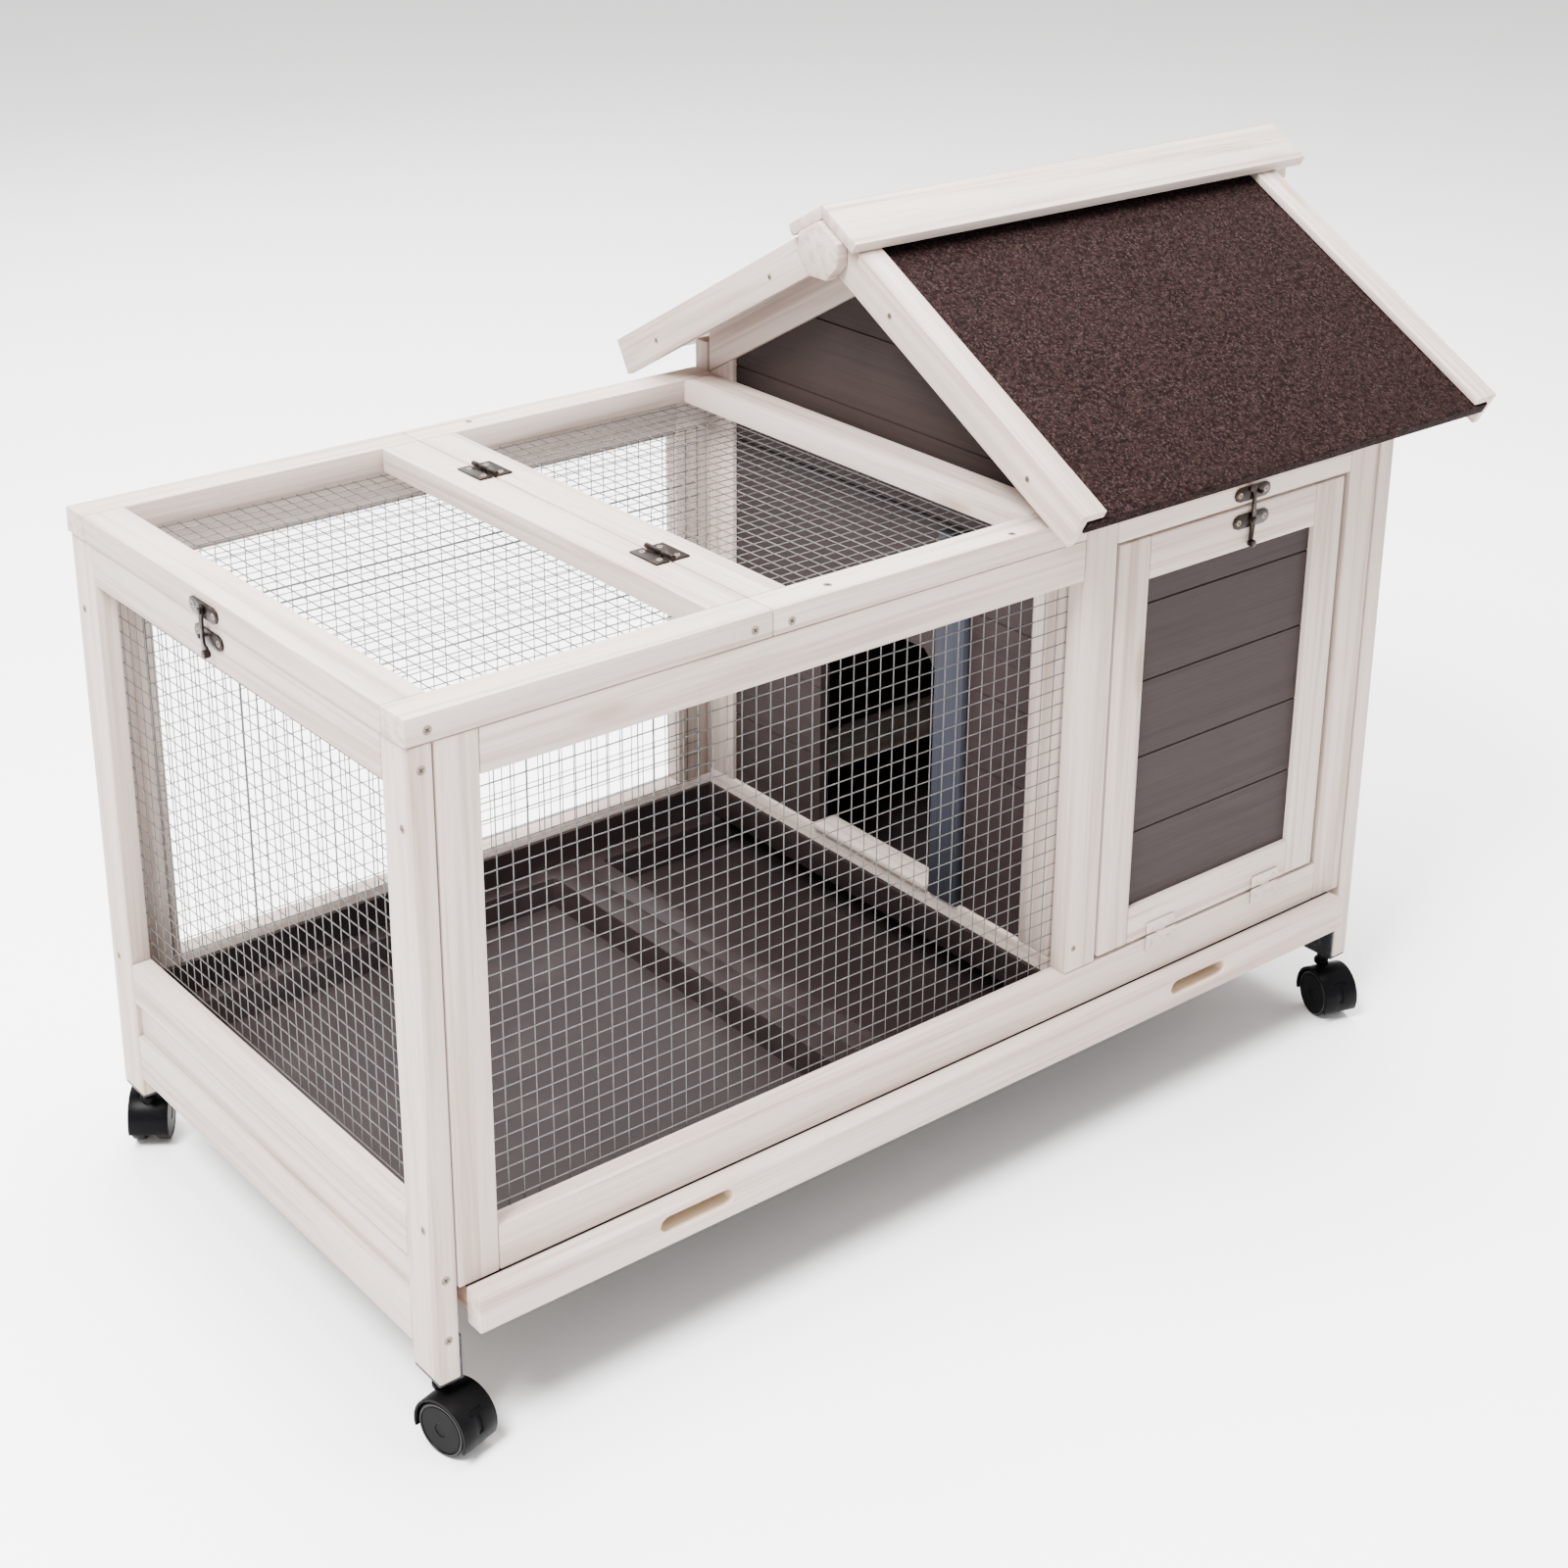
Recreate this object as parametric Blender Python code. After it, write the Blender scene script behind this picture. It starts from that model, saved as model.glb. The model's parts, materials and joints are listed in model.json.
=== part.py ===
"""Rabbit hutch on casters: a wire mesh run with a lifting lid beside a gabled house,
over one full-length slide-out drawer. Metres, +Z up, standing on z = 0.

Plan positions in the code are millimetres measured from the hutch's front left corner:
x to the right from the left posts' outer faces, y back from the front faces, z from the floor.
"""

import math

import bmesh
import bpy
from mathutils import Matrix, Vector

MM = 0.001
GAP = 0.3

# Body
BODY_LENGTH = 952.0
BODY_DEPTH = 487.0
BOARD = 17.0
POST_WIDTH = 34.5
FOOT = 58.0
POST_TOP = 538.0
RAIL = 34.0
RUN_LEFT = 18.7
STILE_RIGHT = 51.4
HOUSE_LEFT = 590.0
BAY_RIGHT = 932.0
RAIL_LOW = 130.0
RAIL_LOW_TOP = 165.0
BACK_RAIL_LOW = 112.0
RAIL_HIGH = 505.0
WALL_TOP = 584.0

# Lid and fixed top
TOP_LOW = POST_TOP + GAP
TOP_HIGH = TOP_LOW + 20.0
TOP_FRONT_WIDTH = 28.5
SPLIT = 288.0
LID_LEFT = -2.5
LID_FRONT = -0.5
HINGE_AXIS_Z = TOP_HIGH + 2.7
LID_HINGES = (("front", 130.0), ("back", 360.0))
HINGE_HALF = 16.5
KNUCKLE = 2.3

# Wire mesh
PITCH = 12.7
WIRE = 1.0

# Roof, measured from the ridge plane down each slope
RIDGE_Y = BODY_DEPTH / 2
RIDGE_Z = 746.0
SLOPE = math.radians(29.7)
SLOPE_LENGTH = 333.0
ROOF_LEFT = 537.6
ROOF_RIGHT = 1022.5
CAP_LEFT = 530.0
CAP_RIGHT = 1055.0
BARGE_DEPTH = 32.5
BARGE_TOP_WIDTH = 24.5
BARGE_SIDE = 7.5
BARGE_TOP = 7.0
DECK_DEPTH = 7.3
DECK_THICK = 11.0
CAP_THICK = 10.0
CAP_WIDTH = 42.0
BARGE_SECTION = ((0, 0), (BARGE_TOP_WIDTH, 0), (BARGE_TOP_WIDTH, BARGE_TOP), (BARGE_SIDE, BARGE_TOP),
                 (BARGE_SIDE, BARGE_DEPTH), (0, BARGE_DEPTH))
UNDER_ROOF = DECK_DEPTH + DECK_THICK + GAP

# House front door
DOOR_LEFT = 627.5
DOOR_RIGHT = 890.7
DOOR_LOW = 167.9
DOOR_HIGH = 525.0
DOOR_AXIS_Z = 166.6
DOOR_AXIS_Y = -2.9
DOOR_HINGES = (("left", 700.0), ("right", 829.0))
BOARD_PITCH = 66.5
GROOVE = 1.6

# Doorway between run and house
DOORWAY_FRONT = 163.0
DOORWAY_BACK = 313.0
DOORWAY_TOP = 388.0
DOORWAY_CHAMFER = 18.0
FLOOR_RAIL_TOP = 172.0

# Drawer
DRAWER_LEFT = 25.0
DRAWER_RIGHT = 923.0
DRAWER_FRONT = -15.0
DRAWER_LOW = 98.0
DRAWER_HIGH = 128.0
SLOT_CENTRES = (210.0, 737.0)
SLOT_Z = 116.0
SLOT_LENGTH = 66.0
SLOT_HEIGHT = 13.0
TRAY_SPLIT = 426.0
RUNNER = (98.0, 107.7)
RUNNER_REACH = 40.0

# Latches: centre along the face, z of the upper and lower plates
LID_LATCH_Y = 263.0
LID_LATCH_Z = (546.5, 525.5)
DOOR_LATCH_X = 775.0
DOOR_LATCH_Z = (536.5, 513.5)
HOOK_OUT = 9.5

# Casters: stem position and swivel angle of the axle at rest
STEM_X = 10.8
STEM_Y = POST_WIDTH / 2
STEM_RADIUS = 4.2
CASTER_TRAIL = 12.5
WHEEL_RADIUS = 21.0
WHEEL_WIDTH = 11.0
BRACKET = 2.0
BRACKET_TOP = 92.0
WEB = 8.0
AXLE = 2.5
CASTERS = (
    ("front_left", STEM_X, STEM_Y, 15.0),
    ("front_right", BODY_LENGTH - STEM_X, STEM_Y, -17.0),
    ("back_left", STEM_X, BODY_DEPTH - STEM_Y, 144.0),
    ("back_right", BODY_LENGTH - STEM_X, BODY_DEPTH - STEM_Y, 165.0),
)

# The origin lies under the middle of everything
CENTRE_X = (CAP_RIGHT - HOOK_OUT) / 2
CENTRE_Y = BODY_DEPTH / 2


def clear_scene():
    for thing in list(bpy.data.objects):
        bpy.data.objects.remove(thing, do_unlink=True)


def world(x, y, z):
    """A corner-measured millimetre position in metres about the origin."""
    return Vector(((x - CENTRE_X) * MM, (y - CENTRE_Y) * MM, z * MM))


def material(name, colour, roughness, metallic=0.0):
    made = bpy.data.materials.new(name)
    made.use_nodes = True
    shader = made.node_tree.nodes["Principled BSDF"]
    shader.inputs["Base Color"].default_value = (*colour, 1.0)
    shader.inputs["Roughness"].default_value = roughness
    shader.inputs["Metallic"].default_value = metallic
    return made


def white_wood(name):
    return material(name + "_white_wood", (0.74, 0.70, 0.66), 0.7)


def grey_wood(name):
    return material(name + "_grey_wood", (0.17, 0.145, 0.14), 0.75)


def bronze(name):
    return material(name + "_dark_bronze", (0.06, 0.045, 0.035), 0.4, 0.9)


def finish(name, bm, mat, pivot=None):
    """One named object whose origin is at pivot (corner millimetres), or at its own middle."""
    bmesh.ops.recalc_face_normals(bm, faces=bm.faces)
    if pivot is None:
        low = [min(v.co[i] for v in bm.verts) for i in range(3)]
        high = [max(v.co[i] for v in bm.verts) for i in range(3)]
        origin = Vector([(a + b) / 2 for a, b in zip(low, high)])
    else:
        origin = world(*pivot)
    bmesh.ops.translate(bm, verts=bm.verts, vec=-origin)
    mesh = bpy.data.meshes.new(name)
    bm.to_mesh(mesh)
    bm.free()
    mesh.materials.append(mat)
    made = bpy.data.objects.new(name, mesh)
    made.location = origin
    bpy.context.scene.collection.objects.link(made)
    return made


def add_prism(bm, low_points, high_points):
    """A closed solid between two matching outlines."""
    low = [bm.verts.new(p) for p in low_points]
    high = [bm.verts.new(p) for p in high_points]
    count = len(low)
    bm.faces.new(low[::-1])
    bm.faces.new(high)
    for i in range(count):
        j = (i + 1) % count
        bm.faces.new((low[i], low[j], high[j], high[i]))


def add_box(bm, x, y, z):
    """A box between (low, high) pairs."""
    made = bmesh.ops.create_cube(bm, size=1.0)["verts"]
    middle = world((x[0] + x[1]) / 2, (y[0] + y[1]) / 2, (z[0] + z[1]) / 2)
    size = Vector((x[1] - x[0], y[1] - y[0], z[1] - z[0])) * MM
    for vert in made:
        vert.co = Vector([a * b for a, b in zip(vert.co, size)]) + middle


def bar(name, mat, x, y, z, pivot=None):
    """One straight board."""
    bm = bmesh.new()
    add_box(bm, x, y, z)
    return finish(name, bm, mat, pivot)


def fused(name, mat, solids, pivot=None):
    """One glued-up piece from overlapping solids, each a function that fills a bmesh."""
    made = None
    for i, fill in enumerate(solids):
        bm = bmesh.new()
        fill(bm)
        other = finish(f"{name}_{i}" if i else name, bm, mat, pivot or (CENTRE_X, CENTRE_Y, 0.0))
        if made is None:
            made = other
        else:
            combine(made, other, "UNION")
    return made


def box_fill(x, y, z):
    return lambda bm: add_box(bm, x, y, z)


def add_yz_prism(bm, outline, x0, x1):
    """A solid with a (y, z) outline running from x0 to x1."""
    add_prism(bm, [world(x0, y, z) for y, z in outline], [world(x1, y, z) for y, z in outline])


def add_xz_prism(bm, outline, y0, y1):
    add_prism(bm, [world(x, y0, z) for x, z in outline], [world(x, y1, z) for x, z in outline])


def circle(centre, radius, count, start=0.0):
    step = 2 * math.pi / count
    return [
        (centre[0] + radius * math.cos(start + i * step), centre[1] + radius * math.sin(start + i * step))
        for i in range(count)
    ]


def stadium(centre, length, height, count=5):
    """An outline with round ends, its straight sides along the first axis."""
    radius = height / 2
    reach = length / 2 - radius
    points = []
    for side, start in ((1, -math.pi / 2), (-1, math.pi / 2)):
        for i in range(count):
            angle = start + math.pi * i / (count - 1)
            points.append((centre[0] + side * reach + radius * math.cos(angle),
                           centre[1] + radius * math.sin(angle)))
    return points


def combine(target, other, operation):
    """Joins other onto target, or cuts it away, and drops it."""
    modifier = target.modifiers.new(operation.lower(), "BOOLEAN")
    modifier.operation = operation
    modifier.solver = "EXACT"
    modifier.object = other
    bpy.context.view_layer.update()
    graph = bpy.context.evaluated_depsgraph_get()
    result = bpy.data.meshes.new_from_object(target.evaluated_get(graph))
    target.modifiers.clear()
    target.data = result
    bpy.data.objects.remove(other, do_unlink=True)


# Wire mesh panels


def add_comb(bm, place, wires, ends, cross_first):
    """Parallel wires joined by one cross wire, one solid.

    wires are positions along the first axis and ends the first and last position along the second;
    place turns (first, second, depth) into a point; cross_first puts the cross wire at the first end.
    """
    half = WIRE / 2
    cuts = [edge for w in wires for edge in (w - half, w + half)]
    rows = [ends[0] - half, ends[0] + half if cross_first else ends[1] - half, ends[1] + half]
    solid_row = 0 if cross_first else 1
    verts = {}

    def vert(i, j, k):
        if (i, j, k) not in verts:
            verts[i, j, k] = bm.verts.new(place(cuts[i], rows[j], k * WIRE))
        return verts[i, j, k]

    def filled(i, j):
        return 0 <= i < len(cuts) - 1 and 0 <= j < 2 and (i % 2 == 0 or j == solid_row)

    for i in range(len(cuts) - 1):
        for j in range(2):
            if not filled(i, j):
                continue
            corners = ((i, j), (i + 1, j), (i + 1, j + 1), (i, j + 1))
            beyond = ((i, j - 1), (i + 1, j), (i, j + 1), (i - 1, j))
            for k in (0, 1):
                bm.faces.new([vert(p, q, k) for p, q in corners])
            for n in range(4):
                if not filled(*beyond[n]):
                    one, two = corners[n], corners[(n + 1) % 4]
                    bm.faces.new([vert(*one, 0), vert(*two, 0), vert(*two, 1), vert(*one, 1)])


def wire_positions(low, high):
    count = int((high - low - WIRE) // PITCH) + 1
    first = (low + high) / 2 - PITCH * (count - 1) / 2
    return [first + PITCH * i for i in range(count)]


def wire_panel(name, across, along, place, pivot=None):
    """Welded mesh: a layer of wires each way, tied at one corner; place(u, v, depth) is a corner position."""
    us, vs = wire_positions(*across), wire_positions(*along)

    def at(u, v, depth):
        return world(*place(u, v, depth))

    def uprights(bm):
        add_comb(bm, at, us, (vs[0], vs[-1]), True)

    def levels(bm):
        add_comb(bm, lambda v, u, d: at(u, v, d + WIRE + GAP), vs, (us[0], us[-1]), False)

    def tie(bm):
        u, v, r = us[-1], vs[0], 0.9
        ring = [(u - r, v - r), (u + r, v - r), (u + r, v + r), (u - r, v + r)]
        add_prism(bm, [at(p, q, 0.2) for p, q in ring], [at(p, q, 2 * WIRE + GAP - 0.2) for p, q in ring])

    mat = material(name + "_galvanised_wire", (0.62, 0.62, 0.6), 0.35, 0.9)
    fused(name, mat, (uprights, tie, levels), pivot)


# Panels


def board_joints(low, high):
    """Heights of the grooves between the boards of a panel."""
    return [low + BOARD_PITCH * i for i in range(1, 12) if low + BOARD_PITCH * i < high - 8]


def board_panel(name, x, y, z, groove_front, pivot=None):
    """A panel of level boards with a narrow groove at each joint of its front or back face."""
    face, rear = (y[0], y[1]) if groove_front else (y[1], y[0])
    deep = face + (GROOVE if groove_front else -GROOVE)
    outline = [(rear, z[1]), (rear, z[0]), (face, z[0])]
    for joint in board_joints(*z):
        outline += [(face, joint - GROOVE / 2), (deep, joint), (face, joint + GROOVE / 2)]
    outline.append((face, z[1]))
    bm = bmesh.new()
    add_yz_prism(bm, outline, *x)
    finish(name, bm, grey_wood(name), pivot)


# Frame


def build_posts():
    for side, x0, top in (("left", 0.0, POST_TOP), ("right", BODY_LENGTH - BOARD, WALL_TOP)):
        for end, y0 in (("front", 0.0), ("back", BODY_DEPTH - POST_WIDTH)):
            name = f"post_{end}_{side}"
            bar(name, white_wood(name), (x0, x0 + BOARD), (y0, y0 + POST_WIDTH), (FOOT, top))


def build_front():
    deep = (0.0, BOARD)
    right_stile = BAY_RIGHT - RAIL
    post_right = HOUSE_LEFT + RAIL
    name = "front_frame"
    fused(name, white_wood(name), (
        box_fill((RUN_LEFT, STILE_RIGHT), deep, (RAIL_LOW, POST_TOP)),
        box_fill((STILE_RIGHT - 1, HOUSE_LEFT + 1), deep, (RAIL_HIGH, POST_TOP - 1)),
        box_fill((STILE_RIGHT - 1, right_stile + 1), deep, (RAIL_LOW, RAIL_LOW_TOP)),
        box_fill((HOUSE_LEFT, post_right), deep, (RAIL_LOW_TOP - 1, WALL_TOP)),
        box_fill((post_right - 1, right_stile + 1), deep, (DOOR_HIGH + 2, DOOR_HIGH + 37)),
        box_fill((right_stile, BAY_RIGHT), deep, (RAIL_LOW, WALL_TOP)),
    ))
    wire_panel("run_front_mesh", (STILE_RIGHT - 10, HOUSE_LEFT + 9), (RAIL_LOW_TOP - 10, RAIL_HIGH + 10),
               lambda u, v, d: (u, BOARD + GAP + d, v))


def build_back():
    back = BODY_DEPTH - BOARD
    deep = (back, BODY_DEPTH)
    post_right, right_stile = HOUSE_LEFT + RAIL, BAY_RIGHT - RAIL
    name = "back_frame"
    fused(name, white_wood(name), (
        box_fill((RUN_LEFT, STILE_RIGHT), deep, (RAIL_LOW, POST_TOP)),
        box_fill((STILE_RIGHT - 1, HOUSE_LEFT + 1), deep, (RAIL_HIGH, POST_TOP)),
        box_fill((STILE_RIGHT - 1, right_stile + 1), deep, (BACK_RAIL_LOW, RAIL_LOW_TOP)),
        box_fill((HOUSE_LEFT - RAIL, post_right), deep, (RAIL_LOW_TOP - 1, POST_TOP - 1)),
        box_fill((HOUSE_LEFT, post_right), deep, (POST_TOP - 2, WALL_TOP)),
        box_fill((post_right - 1, right_stile + 1), deep, (WALL_TOP - RAIL, WALL_TOP - 1)),
        box_fill((right_stile, BAY_RIGHT), deep, (RAIL_LOW, WALL_TOP)),
    ))
    wire_panel("run_back_mesh", (STILE_RIGHT - 10, HOUSE_LEFT - 10), (RAIL_LOW_TOP - 6, RAIL_HIGH + 10),
               lambda u, v, d: (u, back - GAP - d, v))
    board_panel("house_back_boards", (post_right + GAP, right_stile - GAP), (back + 4, back + 14),
                (RAIL_LOW_TOP + GAP, WALL_TOP - RAIL - GAP), False)


def build_left_end():
    span = (POST_WIDTH + GAP, BODY_DEPTH - POST_WIDTH - GAP)
    bar("end_top_rail", white_wood("end_top_rail"), (0.0, BOARD), span, (RAIL_HIGH - 1, POST_TOP))
    name = "end_lower_rails"
    fused(name, white_wood(name), (
        box_fill((0.0, BOARD), span, (145.0, 180.0)),
        box_fill((4.0, BOARD), span, (114.0, 146.0)),
        box_fill((0.0, BOARD), span, (75.0, 115.0)),
        box_fill((BOARD - 1, RUNNER_REACH), span, RUNNER),
    ))
    wire_panel("run_end_mesh", (20.3, BODY_DEPTH - 20.3), (181.0, RAIL_HIGH + 9),
               lambda u, v, d: (BOARD + GAP + d, u, v))


def top_frame(name, x, left_width, pivot=None):
    """Two long rails with two cross rails between."""
    z = (TOP_LOW, TOP_HIGH)
    back = BODY_DEPTH - TOP_FRONT_WIDTH
    cross = (TOP_FRONT_WIDTH - 1, back + 1)
    return fused(name, white_wood(name), (
        box_fill(x, (LID_FRONT, TOP_FRONT_WIDTH), z),
        box_fill((x[0], x[0] + left_width), cross, z),
        box_fill((x[1] - RAIL, x[1]), cross, z),
        box_fill(x, (back, BODY_DEPTH - LID_FRONT), z),
    ), pivot)


def build_tops():
    pivot = (SPLIT, CENTRE_Y, HINGE_AXIS_Z)
    top_frame("lid_frame", (LID_LEFT, SPLIT - GAP), RAIL, pivot)
    top_frame("fixed_top_frame", (SPLIT + GAP, HOUSE_LEFT - GAP), RAIL)

    def under(u, v, d):
        return (u, v, POST_TOP - WIRE - GAP - d)

    wire_panel("lid_mesh", (22.5, SPLIT - 22), (24.0, BODY_DEPTH - 24.0), under, pivot)
    wire_panel("fixed_top_mesh", (SPLIT + 22, HOUSE_LEFT - 16), (24.0, BODY_DEPTH - 24.0), under)


# Hinges


def hinge_leaf(name, mat, centre, axis, leaf, knuckles, pivot=None):
    """A plate with its knuckles.

    centre is along the axis line; axis(along, across, up) is a corner position with across and up
    measured from the pin; leaf is the plate's (near, far) reach across.
    """
    def prism(points, low, high):
        return lambda bm: add_prism(bm, [world(*axis(centre + low, a, b)) for a, b in points],
                                    [world(*axis(centre + high, a, b)) for a, b in points])

    near, far = leaf
    plate = prism([(near, -2.3), (far, -2.3), (far, -1.1), (near, -1.1)], -HINGE_HALF, HINGE_HALF)
    ring = circle((0.0, 0.0), KNUCKLE, 10, math.pi / 10)
    arms = [prism([(0.0, -2.3), (near + 1, -2.3), (near + 1, -1.1), (0.0, -1.1)], a, b) for a, b in knuckles]
    fused(name, mat, [plate] + arms + [prism(ring, a, b) for a, b in knuckles], pivot)


def build_hinges():
    middle = ((-5.5, 5.5),)
    outer = ((-HINGE_HALF, -5.8), (5.8, HINGE_HALF))
    lid_pivot = (SPLIT, CENTRE_Y, HINGE_AXIS_Z)
    door_pivot = (CENTRE_X, DOOR_AXIS_Y, DOOR_AXIS_Z)
    painted = (0.7, 0.67, 0.63)

    for place, y in LID_HINGES:
        name = "lid_hinge_leaf_" + place
        hinge_leaf(name, bronze(name), y, lambda t, a, b: (SPLIT - a, t, HINGE_AXIS_Z + b),
                   (3.2, 15.0), middle, lid_pivot)
        name = "top_hinge_leaf_" + place
        hinge_leaf(name, bronze(name), y, lambda t, a, b: (SPLIT + a, t, HINGE_AXIS_Z + b),
                   (3.2, 15.0), outer)
    for place, x in DOOR_HINGES:
        name = "door_hinge_leaf_" + place
        hinge_leaf(name, material(name + "_painted_steel", painted, 0.5, 0.3), x,
                   lambda t, a, b: (t, DOOR_AXIS_Y - b, DOOR_AXIS_Z + a), (3.2, 13.0), middle, door_pivot)
        name = "rail_hinge_leaf_" + place
        hinge_leaf(name, material(name + "_painted_steel", painted, 0.5, 0.3), x,
                   lambda t, a, b: (t, DOOR_AXIS_Y - b, DOOR_AXIS_Z - a), (3.2, 13.0), outer)


# Latches


def latch_plate(name, centre, out, studs):
    """A round-ended plate; out(a, b, depth) places it; studs are (a, b, radius, from, to)."""
    mat = bronze(name)
    bm = bmesh.new()
    outline = stadium(centre, 42.0, 12.0)
    add_prism(bm, [world(*out(a, b, GAP)) for a, b in outline], [world(*out(a, b, 1.8)) for a, b in outline])
    plate = finish(name, bm, mat)
    for a, b, radius, low, high in studs:
        stud = bmesh.new()
        ring = circle((a, b), radius, 8, math.pi / 8)
        add_prism(stud, [world(*out(p, q, low)) for p, q in ring], [world(*out(p, q, high)) for p, q in ring])
        combine(plate, finish(name + "_stud", stud, mat), "UNION")


def latch_hook(name, centre, out, way, tail, pivot):
    """A flat hook on its stud: a shank reaching way (1 up, -1 down) with a toe at its end, and a
    round thumb piece tail millimetres from the stud, or at the toe when tail is None.
    """
    mat = bronze(name)
    a0, b0 = centre
    reach = 30.0
    half = [(3.6, 0.0), (2.6, 3.4), (1.6, 21.0), (1.0, reach), (-5.5, reach), (-6.5, 26.0), (-2.6, 24.0),
            (-1.4, 20.0), (-2.2, 3.4), (-3.6, 0.0), (-2.4, -3.6), (2.4, -3.6)]
    if tail:
        half[-2:] = [(-2.4, -3.6), (-3.0, -tail), (1.0, -tail), (2.4, -3.6)]
    thumb = (a0 - 1.0, b0 - way * (tail + 2.0)) if tail else (a0 - 6.0, b0 + way * reach)
    outline = [(a0 + a, b0 + way * b) for a, b in half]

    def solid(label, ring, low, high):
        bm = bmesh.new()
        add_prism(bm, [world(*out(a, b, low)) for a, b in ring], [world(*out(a, b, high)) for a, b in ring])
        return finish(name + label, bm, mat, pivot)

    hook = solid("", outline, 2.4, 4.2)
    combine(hook, solid("_hole", circle(centre, 2.0, 8, math.pi / 8), 1.9, 5.0), "DIFFERENCE")
    combine(hook, solid("_thumb", circle(thumb, 3.2, 8, math.pi / 8), 2.2, 7.0), "UNION")


def build_latches():
    def lid_face(a, b, depth):
        return (LID_LEFT - depth, a, b)

    def end_face(a, b, depth):
        return (-depth, a, b)

    def front_face(a, b, depth):
        return (a, -depth, b)

    def pivot_stud(a, b):
        return ((a, b, 1.6, 1.0, 4.8), (a, b, 3.0, 4.5, 5.5))

    def peg(a, b):
        return ((a + 6.0, b, 1.8, 1.0, 6.5),)

    y = LID_LATCH_Y
    upper, lower = LID_LATCH_Z
    latch_plate("lid_latch_plate", (y, upper), lid_face, pivot_stud(y, upper))
    latch_hook("lid_latch_hook", (y, upper), lid_face, -1, None, (LID_LEFT - 3.3, y, upper))
    latch_plate("end_latch_plate", (y, lower), end_face, peg(y, lower))
    x = DOOR_LATCH_X
    upper, lower = DOOR_LATCH_Z
    latch_plate("header_latch_plate", (x, upper), front_face, peg(x, upper))
    latch_plate("door_latch_plate", (x, lower), front_face, pivot_stud(x, lower))
    latch_hook("door_latch_hook", (x, lower), front_face, 1, 17.0, (x, -3.3, lower))


# House


def roof_point(side, along, depth, lift=0.0):
    """(y, z) on a slope: along from the ridge, depth square below the barge boards' top plane."""
    y = along * math.cos(SLOPE) - depth * math.sin(SLOPE)
    z = RIDGE_Z - along * math.sin(SLOPE) - depth * math.cos(SLOPE)
    return (RIDGE_Y + side * y, z + lift)


def ridge_point(side, depth, clear=GAP / 2):
    """(y, z) where a layer at this depth meets the upright cut at the ridge."""
    return (RIDGE_Y + side * clear, RIDGE_Z - depth / math.cos(SLOPE) - clear * math.tan(SLOPE))


def slope_outline(side, depth0, depth1, length):
    return [ridge_point(side, depth0), roof_point(side, length, depth0),
            roof_point(side, length, depth1), ridge_point(side, depth1)]


def build_roof():
    for side, where in ((-1, "front"), (1, "back")):
        name = "roof_panel_" + where
        bm = bmesh.new()
        outline = slope_outline(side, DECK_DEPTH, DECK_DEPTH + DECK_THICK, SLOPE_LENGTH + 2)
        inset = BARGE_SIDE + GAP
        add_yz_prism(bm, outline, ROOF_LEFT + inset, ROOF_RIGHT - inset)
        finish(name, bm, material(name + "_mineral_felt", (0.115, 0.072, 0.068), 0.95))

    def barge(x0, turn, side):
        def fill(bm):
            high = [world(x0 + turn * a, RIDGE_Y, ridge_point(side, d, 0.0)[1]) for a, d in BARGE_SECTION]
            low = [world(x0 + turn * a, *roof_point(side, SLOPE_LENGTH, d)) for a, d in BARGE_SECTION]
            add_prism(bm, low, high)
        return fill

    for end, x0, turn in (("left", ROOF_LEFT, 1), ("right", ROOF_RIGHT, -1)):
        name = "barge_boards_" + end
        fused(name, white_wood(name), (barge(x0, turn, -1), barge(x0, turn, 1)))

    bm = bmesh.new()
    upper = [roof_point(1, CAP_WIDTH, -GAP - CAP_THICK), (RIDGE_Y, ridge_point(1, -GAP - CAP_THICK, 0.0)[1]),
             roof_point(-1, CAP_WIDTH, -GAP - CAP_THICK)]
    lower = [roof_point(-1, CAP_WIDTH, -GAP), (RIDGE_Y, ridge_point(1, -GAP, 0.0)[1]),
             roof_point(1, CAP_WIDTH, -GAP)]
    add_yz_prism(bm, upper + lower, CAP_LEFT, CAP_RIGHT)
    finish("ridge_cap", bm, white_wood("ridge_cap"))
    outline = [(RIDGE_Y + a, RIDGE_Z - 0.6 + b) for a, b in
               ((0, 0), (24, -13.8), (24, -32), (11, -46), (-11, -46), (-24, -32), (-24, -13.8))]
    for end, x0, x1 in (("left", CAP_LEFT - 4, ROOF_LEFT - GAP), ("right", ROOF_RIGHT + GAP, CAP_RIGHT - 4)):
        name = "ridge_end_block_" + end
        bm = bmesh.new()
        add_yz_prism(bm, outline, x0, x1)
        finish(name, bm, white_wood(name))


def under_slope(y, extra=0.0):
    """z of the roof's underside over y, less extra measured square to the slope."""
    return (RIDGE_Z - (UNDER_ROOF + 0.1 + extra) / math.cos(SLOPE)
            - abs(y - RIDGE_Y) * math.tan(SLOPE))


def gable_rails(x, front, back):
    """The two sloping rails under the roof, meeting at the ridge."""
    upper = [(y, under_slope(y)) for y in (front, RIDGE_Y, back)]
    lower = [(y, under_slope(y, RAIL)) for y in (back, RIDGE_Y, front)]
    return [lambda bm: add_yz_prism(bm, upper + lower, *x)]


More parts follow.
